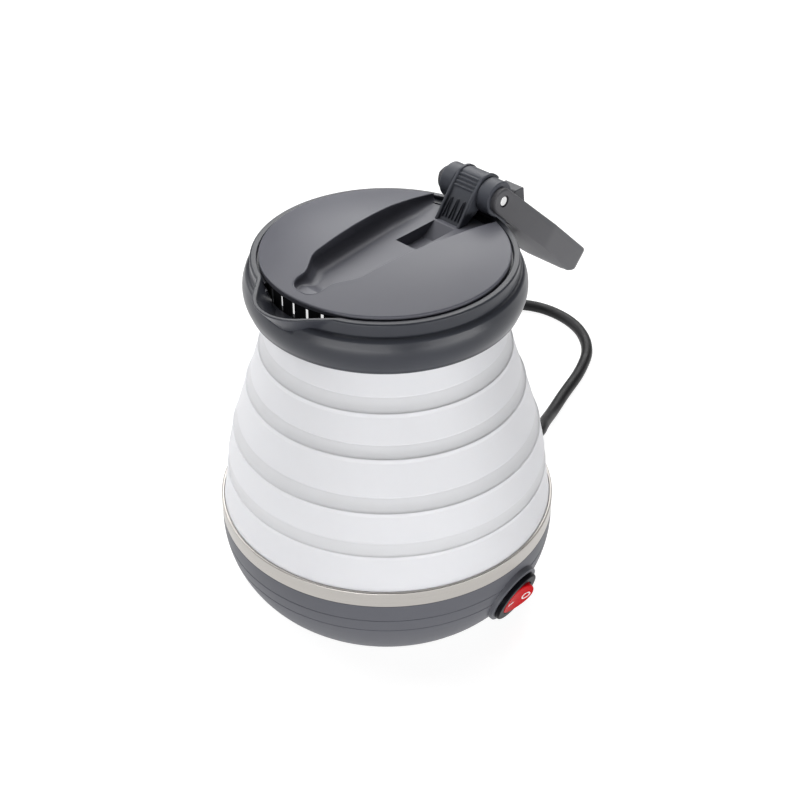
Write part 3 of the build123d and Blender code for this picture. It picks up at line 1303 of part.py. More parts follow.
def least_coil_gap():
    """The least gap between two turns, from points along the coil."""
    points = [arc @ (k / GAP_PARTS) for arc in coil_route()[1:-1] for k in range(GAP_PARTS)]
    step = min((a - b).length for a, b in zip(points, points[1:]))
    near = ceil(3 * CORD_R * 2 / step)
    gaps = [
        (points[i] - points[j]).length - 2 * CORD_R
        for i in range(len(points)) for j in range(i + near, len(points))
    ]
    return min(gaps)


def lead_route():
    stub = coil_route()[0]
    entry, heading = stub @ 0, stub % 0
    start = Vector(0, RELIEF_TIP_Y, CORD_EXIT_Z)
    return [start] + [Vector(*point) for point in LEAD_POINTS] + [entry - heading * LEAD_IN_L, entry]


def cord_lead():
    points = lead_route()
    route = FilletPolyline(*points, radius=bend_radii(points))
    return sweep(Plane(route @ 0, z_dir=route % 0) * Circle(CORD_R), path=route)


def tail_start():
    return coil_route()[-1] @ 1


def tail_heading():
    return coil_route()[-1] % 1


def cord_tail():
    return tube_along([Line(tail_start(), tail_start() + tail_heading() * PLUG_TAIL_L)], CORD_R)


def plug_place():
    """The plug lies on its back; its Y points back along the cord."""
    middle = tail_start() + tail_heading() * (PLUG_TAIL_L + PLUG_NOSE_L + PLUG_R)
    return Plane(origin=(middle.X, middle.Y, 0), x_dir=Vector(0, 0, 1).cross(tail_heading()), z_dir=(0, 0, 1))


def clip_slots(grow=0.0):
    """The two earth strips let into the plug's sides."""
    width = EARTH_CLIP_W + 2 * grow
    strip = Pos(0, 0, PLUG_H / 2) * Box(EARTH_CLIP_T + grow, width, PLUG_H / 2 + OVERRUN)
    strip &= lengthways(-REACH, REACH, PLUG_H / 3 - grow, PLUG_H)
    out = PLUG_R - EARTH_CLIP_T / 2
    return [Rot(0, 0, turn) * Pos(out + grow / 2, 0, 0) * strip for turn in (0, 180)]


def plug_body():
    disc = rod(PLUG_R, 0, PLUG_H)
    disc = fillet(disc.edges().filter_by(GeomType.CIRCLE), PLUG_ROUND)
    nose_z = tail_start().Z
    nose_l = PLUG_R / 2 + PLUG_NOSE_L
    nose = Pos(0, PLUG_R / 2, nose_z) * Rot(-90, 0, 0) * Cylinder(PLUG_NOSE_R, nose_l, align=STAND)
    body = disc + nose - clip_slots(SEAT_GAP)
    for side in (-1, 1):
        body -= Pos(0, side * PLUG_PIN_STEP / 2) * rod(PLUG_PIN_R + SEAT_GAP, PLUG_H / 2, REACH)
    return plug_place() * body


def plug_pins():
    pin = rod(PLUG_PIN_R, PLUG_H / 2, PLUG_H + PLUG_PIN_L)
    pin = fillet(pin.edges().sort_by(Axis.Z)[-1], PLUG_PIN_R / 2)
    return group(plug_place() * Pos(0, side * PLUG_PIN_STEP / 2) * pin for side in (-1, 1))


def plug_earth_clips():
    return group(plug_place() * strip for strip in clip_slots())


PIECES = {
    "base_housing": base_housing,
    "bottom_cover": bottom_cover,
    "feet": feet,
    "cover_screws": cover_screws,
    "steel_trim_ring": steel_trim_ring,
    "heating_plate": heating_plate,
    "element_plate": element_plate,
    "heating_element": heating_element,
    "pan_screws": pan_screws,
    "thermostat_bracket": thermostat_bracket,
    "thermostat_discs": thermostat_discs,
    "thermal_fuse": thermal_fuse,
    "terminal_block": terminal_block,
    "internal_wires": internal_wires,
    "switch_body": switch_body,
    "switch_rocker": switch_rocker,
    "switch_terminals": switch_terminals,
    "band_4": band_4,
    "fold_4": lambda: fold(BAND_4_LIP_R, BAND_3_FOOT_R, BAND_4_LIP_Z, BAND_3_FOOT_Z),
    "band_3": lambda: band(BAND_3_FOOT_R, BAND_3_LIP_R, BAND_3_FOOT_Z, BAND_3_LIP_Z),
    "fold_3": lambda: fold(BAND_3_LIP_R, BAND_2_FOOT_R, BAND_3_LIP_Z, BAND_2_FOOT_Z),
    "band_2": lambda: band(BAND_2_FOOT_R, BAND_2_LIP_R, BAND_2_FOOT_Z, BAND_2_LIP_Z),
    "fold_2": lambda: fold(BAND_2_LIP_R, BAND_1_FOOT_R, BAND_2_LIP_Z, BAND_1_FOOT_Z),
    "band_1": lambda: band(BAND_1_FOOT_R, BAND_1_LIP_R, BAND_1_FOOT_Z, BAND_1_LIP_Z),
    "fold_1": lambda: fold(BAND_1_LIP_R, NECK_FOOT_R, BAND_1_LIP_Z, NECK_FOOT_Z),
    "neck": neck,
    "clamp_ring": clamp_ring,
    "collar": collar,
    "spout_strainer": spout_strainer,
    "lid_cover": lid_cover,
    "lid_liner": lid_liner,
    "lid_seal": lid_seal,
    "lid_arm": lid_arm,
    "hinge_pin": hinge_pin,
    "handle": handle,
    "handle_cover": handle_cover,
    "handle_screws": handle_screws,
    "release_button": release_button,
    "button_spring": button_spring,
    "strain_relief": strain_relief,
    "cord_lead": cord_lead,
    "cord_coil": cord_coil,
    "cord_tail": cord_tail,
    "plug_body": plug_body,
    "plug_pins": plug_pins,
    "plug_earth_clips": plug_earth_clips,
}

for name, make in PIECES.items():
    export_step(make(), f"parts/{name}.step")

print("lead bend radii", [round(radius, 1) for radius in bend_radii(lead_route())])
print("least gap in the coil", round(least_coil_gap(), 2))
print("tail", tail_start(), tail_heading(), "plug", plug_place().origin)
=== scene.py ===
"""Looks of a collapsible travel kettle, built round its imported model.

Sizes are in millimetres in the classes and become metres where a mesh is made. The table is at
Z = 0 under the middle of the round body, the spout points to -Y and the handle to +Y.
"""

from __future__ import annotations

import json
import logging
from dataclasses import dataclass, field, replace
from enum import Enum
from math import cos, pi, radians, sin
from typing import Iterable

import bmesh
import bpy
import numpy as np
from mathutils import Matrix, Vector

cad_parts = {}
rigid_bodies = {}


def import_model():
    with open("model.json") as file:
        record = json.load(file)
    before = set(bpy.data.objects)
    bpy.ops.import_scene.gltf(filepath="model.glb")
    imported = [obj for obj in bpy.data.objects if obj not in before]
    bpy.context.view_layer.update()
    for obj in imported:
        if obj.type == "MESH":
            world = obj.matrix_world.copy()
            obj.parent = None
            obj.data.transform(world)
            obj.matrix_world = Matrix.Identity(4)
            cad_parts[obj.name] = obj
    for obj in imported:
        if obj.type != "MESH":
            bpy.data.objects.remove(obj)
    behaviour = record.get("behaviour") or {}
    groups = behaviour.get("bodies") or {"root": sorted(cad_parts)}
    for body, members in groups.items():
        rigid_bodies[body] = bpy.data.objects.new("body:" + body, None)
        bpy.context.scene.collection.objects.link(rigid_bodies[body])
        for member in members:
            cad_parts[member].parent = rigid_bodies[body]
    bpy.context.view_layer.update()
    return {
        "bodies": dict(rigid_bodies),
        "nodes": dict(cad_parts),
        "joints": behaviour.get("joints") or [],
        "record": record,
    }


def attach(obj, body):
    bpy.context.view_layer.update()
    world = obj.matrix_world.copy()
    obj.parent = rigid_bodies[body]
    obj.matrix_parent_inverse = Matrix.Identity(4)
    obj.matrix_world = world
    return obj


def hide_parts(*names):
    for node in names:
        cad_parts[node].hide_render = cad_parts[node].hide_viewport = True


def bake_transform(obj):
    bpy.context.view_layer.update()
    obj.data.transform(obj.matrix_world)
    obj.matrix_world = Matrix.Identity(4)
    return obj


LOG = logging.getLogger("kettle")
Array = np.ndarray
Colour = tuple[float, float, float]
Point = tuple[float, float, float]
Pair = tuple[float, float]
Node, Socket = bpy.types.Node, bpy.types.NodeSocket
Mesh, Object = bpy.types.Mesh, bpy.types.Object

MM = 0.001
TINY = 1e-6

# Places that several classes share: the base's bowl, the hinge pin and the neck's foot
BOWL_TOP_R = 70.0
BOWL_SIDE_R = 43.698
BOWL_SIDE_Z = 31.8
PIN_Y = 51.8
PIN_Z = 162.1
NECK_FOOT = (49.0, 120.0)


class Body(Enum):
    """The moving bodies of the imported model."""

    BASE = "base"
    LOWER_BAND = "lower_band"
    UPPER_BAND = "upper_band"
    COLLAR = "collar_body"
    LID = "lid"
    HANDLE = "handle_body"
    BUTTON = "button"
    ROCKER = "rocker"


class Slot(Enum):
    """The record's material slots that whole pieces use."""

    GREY = "grey_plastic"
    DARK = "dark_grey_plastic"
    WHITE = "white_plastic"
    BLACK = "black_plastic"
    RED = "red_plastic"
    RUBBER = "rubber_dark"
    CORD = "cord_black"
    SILICONE = "silicone"
    BRUSHED = "brushed_steel"


# Finishes


@dataclass(frozen=True)
class Pattern:
    """A noise: its scale, its detail and, where it follows the UV map, its stretch."""

    scale: float
    detail: float
    stretch: Point | None = None


class Sheet:
    """The node tree of a material or a world, with short calls to add and join nodes."""

    def __init__(self, owner: bpy.types.Material | bpy.types.World) -> None:
        """Leaves the owner's node tree with nothing but a new output."""
        owner.use_nodes = True
        self.nodes, self.links = owner.node_tree.nodes, owner.node_tree.links
        self.nodes.clear()
        kind = "OutputWorld" if isinstance(owner, bpy.types.World) else "OutputMaterial"
        self.out = self.add(kind).inputs["Surface"]

    def add(self, kind: str, **values: object) -> Node:
        """Adds a node, sets its properties or its input sockets and links it to other nodes.

        Args:
            kind: The node's Blender type without its first word.
            values: Property names, or socket names with underscores for spaces. A value that is
                another node's output is linked.

        Returns:
            The new node.
        """
        node = self.nodes.new("ShaderNode" + kind)
        for key, value in values.items():
            if hasattr(node, key):
                setattr(node, key, value)
            elif isinstance(value, Socket):
                self.join(value, node.inputs[key.replace("_", " ")])
            else:
                node.inputs[key.replace("_", " ")].default_value = value
        return node

    def join(self, source: Socket, target: Socket) -> None:
        """Links one socket to another."""
        self.links.new(source, target)

    def noise(self, pattern: Pattern) -> Socket:
        """Adds a pattern in the object's or the UV map's coordinates and gives its factor."""
        where = self.add("TexCoord").outputs["UV" if pattern.stretch else "Object"]
        place = self.add("Mapping", Vector=where, Scale=pattern.stretch or (1, 1, 1)).outputs[0]
        return self.add("TexNoise", Vector=place, Scale=pattern.scale, Detail=pattern.detail).outputs[0]

    def span(self, factor: Socket, low: float, high: float) -> Socket:
        """Maps the middle of a pattern's factor, 0.3 to 0.7, to low..high."""
        return self.add("MapRange", Value=factor, From_Min=0.3, From_Max=0.7, To_Min=low,
                        To_Max=high).outputs[0]

    def tint(self, factor: Socket, *pair: Colour) -> Socket:
        """Mixes two colours by a pattern."""
        node = self.add("Mix", data_type="RGBA", Factor=factor)
        for socket, colour in zip((item for item in node.inputs if item.type == "RGBA"), pair):
            socket.default_value = (*colour, 1)
        return next(socket for socket in node.outputs if socket.type == "RGBA")


@dataclass(frozen=True)
class Finish:
    """A surface whose colour and roughness drift with a pattern, under a finer relief.

    Shades are shares of the colour, wear is how far the roughness drifts down and up, and relief,
    edge and depth are in metres. Scatter is light let in; glow is painted light from behind.
    """

    name: str
    colour: Colour
    roughness: float
    drift: Pattern
    grain: Pattern
    shades: Pair
    wear: Pair
    strength: float
    relief: float
    edge: float = 0.0
    gloss: float = 0.5
    index: float = 1.5
    metal: float = 0.0
    brushing: float = 0.0
    scatter: float = 0.0
    depth: float = 0.004
    glow: float = 0.0

    def of(self, name: str, colour: Colour, roughness: float | None = None, **more: object) -> Finish:
        """The same kind of surface under another name and colour."""
        rough = self.roughness if roughness is None else roughness
        return replace(self, name=name, colour=colour, roughness=rough, **more)

    def material(self) -> bpy.types.Material:
        """Builds the node material."""
        material = bpy.data.materials.new(self.name)
        sheet = Sheet(material)
        shader = sheet.add(
            "BsdfPrincipled", Base_Color=(*self.colour, 1), Roughness=self.roughness, IOR=self.index,
            Specular_IOR_Level=self.gloss, Metallic=self.metal, Anisotropic=self.brushing,
            Subsurface_Weight=self.scatter, Subsurface_Scale=self.depth,
            Subsurface_Radius=(1.0, 0.95, 0.9), Emission_Color=(1, 1, 1, 1),
            Emission_Strength=self.glow)
        drift, fine = sheet.noise(self.drift), sheet.noise(self.grain)
        worn = fine if self.brushing else drift
        colours = [tuple(min(1.0, part * share) for part in self.colour) for share in self.shades]
        bump = sheet.add("Bump", Strength=self.strength, Distance=self.relief, Height=fine)
        if self.edge:
            sheet.join(sheet.add("Bevel", samples=6, Radius=self.edge).outputs[0], bump.inputs["Normal"])
        less, more = self.wear
        sheet.join(sheet.tint(drift, *colours), shader.inputs["Base Color"])
        sheet.join(sheet.span(worn, self.roughness - less, self.roughness + more),
                   shader.inputs["Roughness"])
        sheet.join(bump.outputs[0], shader.inputs["Normal"])
        sheet.join(shader.outputs[0], sheet.out)
        return material


# Moulded plastic with a fine spark-eroded grain and faint flow marks
BASE_GREY = Finish("base_grey", (0.113, 0.116, 0.133), 0.46, Pattern(55.0, 2.0), Pattern(2600.0, 2.0),
                   (0.93, 1.07), (0.03, 0.03), strength=0.35, relief=0.00003, gloss=0.3, index=1.46)
COLLAR_GREY = BASE_GREY.of("collar_grey", (0.036, 0.0385, 0.048), 0.33, gloss=0.34)
LID_GREY = BASE_GREY.of("lid_grey", (0.122, 0.124, 0.146), 0.36)
ARM_GREY = BASE_GREY.of("arm_grey", (0.066, 0.071, 0.086), 0.42, edge=0.0004)
HANDLE_GREY = BASE_GREY.of("handle_grey", (0.088, 0.088, 0.096), 0.46)
PIECE_GREY = BASE_GREY.of("piece_grey", (0.088, 0.089, 0.098), 0.44, edge=0.0003)
STRAINER_BLACK = BASE_GREY.of("strainer_black", (0.012, 0.012, 0.014), 0.5, gloss=0.15)
BEZEL_BLACK = BASE_GREY.of("bezel_black", (0.006, 0.006, 0.008), 0.3, gloss=0.2, index=1.15)
ROCKER_RED = BASE_GREY.of("rocker_red", (0.58, 0.006, 0.01), 0.2, relief=0.00001, gloss=0.12, index=1.12)
MARK_WHITE = BASE_GREY.of("mark_white", (0.9, 0.86, 0.86), 0.4, gloss=0.1)
INNER_WHITE = BASE_GREY.of("inner_white", (0.8, 0.8, 0.8), 0.45, edge=0.0003)
# The skirt's glow is painted light for the bright white seen through the strainer's slots
SKIRT_PAINTED_GLOW = BASE_GREY.of("skirt_painted_glow", (0.85, 0.85, 0.85), 0.5, glow=0.75)

# Soft white silicone that lets a little light in, with a matte hand-worn surface
WALL_WHITE = Finish("wall_white", (0.84, 0.84, 0.87), 0.5, Pattern(26.0, 4.0), Pattern(1500.0, 2.0),
                    (0.975, 1.02), (0.05, 0.06), strength=0.25, relief=0.00003, index=1.41,
                    scatter=0.35)
# The folds are the same silicone, painted darker as shade for the thin, recessed folds
FOLD_PAINTED_SHADE = WALL_WHITE.of("fold_white", (0.78, 0.78, 0.8))

# Plain bright metal with fine wear, and steel brushed along its own u direction
PLAIN_STEEL = Finish("plain_steel", (0.62, 0.6, 0.58), 0.28, Pattern(900.0, 4.0), Pattern(900.0, 4.0),
                     (0.86, 1.0), (0.06, 0.12), strength=0.2, relief=0.00002, edge=0.00015, metal=1.0)
CAST_ALUMINIUM = PLAIN_STEEL.of("cast_aluminium", (0.72, 0.72, 0.73), 0.42)
PIN_STEEL = PLAIN_STEEL.of("pin_steel", (0.7, 0.7, 0.7), 0.2)
TRIM_STEEL = Finish("trim_steel", (0.475, 0.455, 0.43), 0.34, Pattern(1.0, 2.0, (9.0, 300.0, 1.0)),
                    Pattern(1.0, 5.0, (14.0, 5200.0, 1.0)), (0.9, 1.06), (0.08, 0.1), strength=0.5,
                    relief=0.00004, metal=1.0, brushing=0.5)

# Black cord jacket or rubber, slightly satin
CORD_BLACK = Finish("cord_black_rubber", (0.008, 0.008, 0.009), 0.48, Pattern(160.0, 3.0),
                    Pattern(1400.0, 2.0), (0.8, 1.3), (0.06, 0.08), strength=0.3, relief=0.00004,
                    gloss=0.3)
FOOT_RUBBER = CORD_BLACK.of("foot_rubber", (0.02, 0.02, 0.021), 0.7)


# Lines and surfaces


def bowl_r(z: float) -> float:
    """Radius of the base's outer face at a height: an arc whose top stands upright."""
    return BOWL_TOP_R - BOWL_SIDE_R + (BOWL_SIDE_R**2 - min(z - BOWL_SIDE_Z, 0.0) ** 2) ** 0.5


def angles(start: float, end: float, count: int) -> Array:
    """Even angles in radians, from one to another given in degrees."""
    return np.radians(np.linspace(start, end, count))


def full_turn(count: int) -> Array:
    """Even angles all round, in radians."""
    return np.linspace(0, 2 * pi, count, endpoint=False)


def unit(rows: Array) -> Array:
    """Each row's direction, as a row of length one."""
    return rows / np.maximum(np.linalg.norm(rows, axis=1, keepdims=True), 1e-9)


def arc(centre: Pair, radius: float, start: float, end: float, steps: int) -> Array:
    """Points on a circle from one angle to another, in degrees."""
    turn = angles(start, end, steps + 1)
    return np.stack([centre[0] + radius * np.cos(turn), centre[1] + radius * np.sin(turn)], 1)


def rounded(corners: Iterable[Point], closed: bool = True, steps: int = 6) -> Array:
    """A polyline whose corners are arcs.

    Each corner is cut back along both runs by radius x tan(half its turn), and an arc of that
    radius joins the two cuts.

    Args:
        corners: Two coordinates and a radius for each corner, 0 where it stays sharp.
        closed: Whether the last corner joins the first.
        steps: Parts of each arc.

    Returns:
        Points along the line, as an array of pairs.
    """
    table = np.asarray(list(corners), float)
    places, count = table[:, :2], len(table)
    share = np.linspace(0, 1, steps + 1)[:, None]
    pieces = []
    for at, (here, radius) in enumerate(zip(places, table[:, 2])):
        if radius <= 0 or (not closed and at in (0, count - 1)):
            pieces.append(here[None])
            continue
        back, ahead = places[at - 1] - here, places[(at + 1) % count] - here
        back, ahead = back / np.linalg.norm(back), ahead / np.linalg.norm(ahead)
        half = np.arccos(np.clip(back @ ahead, -1, 1)) / 2
        centre = here + (back + ahead) / np.linalg.norm(back + ahead) * radius / sin(half)
        first = here + back * radius / np.tan(half) - centre
        last = here + ahead * radius / np.tan(half) - centre
        angle = np.arccos(np.clip(first @ last / radius**2, -1, 1))
        pieces.append(centre + (np.sin((1 - share) * angle) * first + np.sin(share * angle) * last)
                      / sin(angle))
    return np.concatenate(pieces)


def read_off(at: Array, corners: Iterable[Point], steps: int) -> Array:
    """Second coordinates of an open rounded line at given first ones."""
    line = rounded(corners, closed=False, steps=steps)
    return np.interp(at, line[:, 0], line[:, 1])


def run_of(line: Array) -> Array:
    """Distance along a line at each of its points."""
    return np.concatenate([[0], np.linalg.norm(np.diff(line, axis=0), axis=1).cumsum()])


def outward(loop: Array) -> Array:
    """Unit normals of a closed plane line, to its right as it runs."""
    ahead = unit(np.roll(loop, -1, 0) - np.roll(loop, 1, 0))
    return np.stack([ahead[:, 1], -ahead[:, 0]], 1)


def smoothstep(value: Array, low: float, high: float) -> Array:
    """0 below low, 1 above high and an even S between them."""
    share = np.clip((value - low) / (high - low), 0, 1)
    return share * share * (3 - 2 * share)


def around(radius: Array, turn: Array, z: Array | float) -> Array:
    """Points at a radius and a height, turned about the Z axis from -Y."""
    return np.stack(np.broadcast_arrays(radius * np.sin(turn), -radius * np.cos(turn), z), -1)


@dataclass
class Grid:
    """A surface as rows of points, each row as long as the next."""

    points: Array
    wrap_rows: bool = False
    wrap_columns: bool = True
    cap_first: bool = False
    cap_last: bool = False

    def faces(self) -> Array:
        """Corner numbers of the four-sided faces, two rows and two columns to each."""
        rows, columns = self.points.shape[:2]
        row = np.arange(rows if self.wrap_rows else rows - 1)
        column = np.arange(columns if self.wrap_columns else columns - 1)
        r, c = np.meshgrid(row, column, indexing="ij")
        r2, c2 = (r + 1) % rows, (c + 1) % columns
        corners = [r * columns + c, r * columns + c2, r2 * columns + c2, r2 * columns + c]
        return np.stack(corners, -1).reshape(-1, 4)

    def flow(self) -> Array:
        """Distances along the columns and along the rows at each point, in metres."""
        along, across = (
            np.linalg.norm(np.diff(self.points, axis=axis, prepend=self.points.take([0], axis)),
                           axis=2).cumsum(axis) for axis in (1, 0))
        return np.stack([along, across], -1).reshape(-1, 2) * MM


def bar(points: Array) -> Grid:
    """Sections as a grid that is closed at both ends."""
    return Grid(points, cap_first=True, cap_last=True)


def bent_bar(radii: Pair, heights: Pair, turn: Array) -> Grid:
    """A bar of rectangular section, bent round the Z axis through angles from -Y."""
    (inner, outer), (low, high) = radii, heights
    return bar(around(np.array([inner, outer, outer, inner]), turn[:, None],
                      np.array([low, low, high, high])))


def turned(profile: Array, steps: int = 256, more: tuple[float, ...] = ()) -> Grid:
    """A closed (radius, Z) profile carried round the Z axis, with more columns at some angles."""
    turn = np.sort(np.concatenate([full_turn(steps), more]))
    radius = profile[:, :1]
    points = np.broadcast_arrays(radius * np.cos(turn), radius * np.sin(turn), profile[:, 1:])
    return Grid(np.stack(points, -1), wrap_rows=True)


def slab(loop: Array, low: float, high: float, edge: float, steps: int = 4) -> Grid:
    """A closed (Y, Z) loop carried along X, whose two rims are rounded.

    Near a rim the loop shrinks by edge x (1 - sin) while X moves by edge x (1 - cos), so the rim
    is a quarter circle.

    Args:
        loop: Corners of the loop, anticlockwise when seen from +X.
        low: X of one rim.
        high: X of the other rim.
        edge: Radius of the rims.
        steps: Parts of each quarter circle.

    Returns:
        The grid, capped at both rims.
    """
    turn = angles(0, 90, steps + 1)
    inset, reach = edge * (1 - np.sin(turn)), edge * (1 - np.cos(turn))
    x = np.concatenate([low + reach, (high - reach)[::-1]])
    shrink = np.concatenate([inset, inset[::-1]])
    plane = loop[None] - outward(loop)[None] * shrink[:, None, None]
    across = np.broadcast_to(x[:, None, None], (len(x), len(loop), 1))
    return bar(np.concatenate([across, plane], -1))


def beam(start: Vector, end: Vector, out: Vector, half_ws: Pair, height: float) -> Grid:
    """A ridge with a round back from one point to another, whose half width changes along it.

    The section is half an ellipse, half_w x cos and height x sin, closed a little under its foot.

    Args:
        start: Middle of the foot at one end.
        end: Middle of the foot at the other end.
        out: Direction in which the ridge rises.
        half_ws: Half widths at the start and at the end.
        height: Height of its back.

    Returns:
        The grid, capped at both ends.
    """
    under = -0.35
    across = (end - start).normalized().cross(out).normalized()
    share = np.array([0.0, 0.03, 0.1, 0.3, 0.5, 0.7, 0.9, 0.97, 1.0])
    crest = np.array([0.25, 0.8, 1, 1, 1, 1, 1, 0.8, 0.25])[:, None]
    turn = angles(0, 180, 11)
    side = np.concatenate([[1.0], np.cos(turn), [-1.0]])
    rise = np.concatenate([[under], np.sin(turn), [under]])
    half_w = half_ws[0] + (half_ws[1] - half_ws[0]) * share
    line = np.array(start) + (np.array(end) - np.array(start)) * share[:, None]
    lift = crest * np.where(rise > 0, rise, rise / crest) * height
    return bar(line[:, None] + np.array(across) * (half_w[:, None] * side)[..., None]
               + np.array(out) * lift[..., None])


def moved(grid: Grid, place: Matrix) -> Grid:
    """The grid carried by a placement in millimetres."""
    turn, shift = np.array(place.to_3x3()), np.array(place.to_translation())
    return replace(grid, points=grid.points @ turn.T + shift)


# Meshes


def shown(item: Object) -> Object:
    """Links an object to the scene."""
    bpy.context.scene.collection.objects.link(item)
    return item


def solid(name: str, grids: list[Grid], sharp: float = 38.0, joined: bool = False,
          cuts: Iterable[Grid] = ()) -> Object:
    """Makes one object from grids, with closed poles, outward faces and smooth shading.

    Args:
        name: The object's name.
        grids: Its surfaces in millimetres.
        sharp: Edges that turn by more than this many degrees stay sharp.
        joined: Whether the grids are parts of one closed skin that share their borders.
        cuts: Closed grids that are taken out of the object.

    Returns:
        The new object, linked to the scene.
    """
    mesh = skin(name, grids)
    for cut in cuts:
        mesh = carved(mesh, skin(name + "_cut", [cut]))
    merge(mesh, joined)
    mesh.polygons.foreach_set("use_smooth", np.ones(len(mesh.polygons), bool))
    mesh.set_sharp_from_angle(angle=radians(sharp))
    piece = shown(bpy.data.objects.new(name, mesh))
    piece.modifiers.new("even shading", "WEIGHTED_NORMAL").keep_sharp = True
    return piece


def skin(name: str, grids: list[Grid]) -> Mesh:
    """Writes grids into one mesh with a UV map of their own lengths, each grid facing outward."""
    vertices, faces, uvs, shift = [], [], [], 0
    for grid in grids:
        flat, columns = grid.points.reshape(-1, 3), grid.points.shape[1]
        loops = [tuple(quad) for quad in (grid.faces() + shift).tolist()]
        end = shift + len(flat)
        if grid.cap_first:
            loops.append(tuple(range(shift + columns - 1, shift - 1, -1)))
        if grid.cap_last:
            loops.append(tuple(range(end - columns, end)))
        if volume(flat, loops, shift) < 0:
            loops = [loop[::-1] for loop in loops]
        vertices.append(flat)
        uvs.append(grid.flow())
        faces += loops
        shift = end
    mesh = bpy.data.meshes.new(name)
    mesh.from_pydata(np.concatenate(vertices) * MM, [], faces)
    mesh.update()
    corner = np.empty(len(mesh.loops), np.int32)
    mesh.loops.foreach_get("vertex_index", corner)
    layer = mesh.uv_layers.new(name="flow")
    layer.data.foreach_set("uv", np.concatenate(uvs)[corner].ravel().astype(np.float32))
    return mesh


def volume(points: Array, loops: list[tuple[int, ...]], shift: int) -> float:
    """Signed volume inside the faces: the sum over fans of a . (b x c) / 6."""
    total = 0.0
    by_size: dict[int, list[tuple[int, ...]]] = {}
    for loop in loops:
        by_size.setdefault(len(loop), []).append(loop)
    for size, group in by_size.items():
        index = np.asarray(group) - shift
        first = points[index[:, 0]]
        for k in range(1, size - 1):
            normal = np.cross(points[index[:, k]], points[index[:, k + 1]])
            total += np.einsum("ij,ij->i", first, normal).sum()
    return total / 6


def merge(mesh: Mesh, joined: bool) -> None:
    """Merges the points that poles and shared borders have twice, and turns a joined skin outward."""
    work = bmesh.new()
    work.from_mesh(mesh)
    bmesh.ops.remove_doubles(work, verts=work.verts, dist=2e-6)
    bmesh.ops.dissolve_degenerate(work, edges=work.edges, dist=1e-7)
    if joined:
        bmesh.ops.recalc_face_normals(work, faces=work.faces)
    work.to_mesh(mesh)
    work.free()


def carved(mesh: Mesh, tool: Mesh) -> Mesh:
    """Takes one closed mesh out of another and gives the rest."""
    for part in (mesh, tool):
        merge(part, False)
    body, cutter = (shown(bpy.data.objects.new("carved", part)) for part in (mesh, tool))
    cut = body.modifiers.new("cut", "BOOLEAN")
    cut.object, cut.operation, cut.solver = cutter, "DIFFERENCE", "EXACT"
    bpy.context.view_layer.update()
    rest = bpy.data.meshes.new_from_object(body.evaluated_get(bpy.context.evaluated_depsgraph_get()))
    for item in (body, cutter):
        bpy.data.objects.remove(item)
    return rest


@dataclass
class Workshop:
    """Makes and dresses pieces: finish, body and the solids they stand for."""

    frame: dict
    made: dict[str, bpy.types.Material] = field(default_factory=dict)

    def dress(self, mesh: Mesh | bpy.types.Curve, finish: Finish) -> None:
        """Gives a mesh its finish's material, which is made the first time."""
        if finish.name not in self.made:
            self.made[finish.name] = finish.material()
        mesh.materials.clear()
        mesh.materials.append(self.made[finish.name])

    def finish(self, piece: Object, finish: Finish, body: Body | None, slot: Slot,
               *nodes: str) -> Object:
        """Gives a piece its material and its body.

        Args:
            piece: The piece.
            finish: Its finish.
            body: The body it rides on, or None for one that rides on no body.
            slot: The record's material slot; not used.
            nodes: The solids it stands for.

        Returns:
            The same piece.
        """
        self.dress(piece.data, finish)
        if body:
            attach(piece, body.value)
        if nodes:
            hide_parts(*nodes)
        LOG.info("%s rides on %s and stands for %s", piece.name, body, nodes or "nothing")
        return piece

    def make(self, name: str, grids: list[Grid], finish: Finish, body: Body | None, slot: Slot,
             *nodes: str, **how: object) -> Object:
        """Makes a solid piece and finishes it, with solid's and finish's own arguments."""
        return self.finish(solid(name, grids, **how), finish, body, slot, *nodes)

    def carry(self, finish: Finish, *nodes: str) -> None:
        """Gives solids that are shown as they are their finish."""
        for node in nodes:
            self.dress(self.frame["nodes"][node].data, finish)
            LOG.info("%s is shown as it is", node)


# The kettle's sub-assemblies


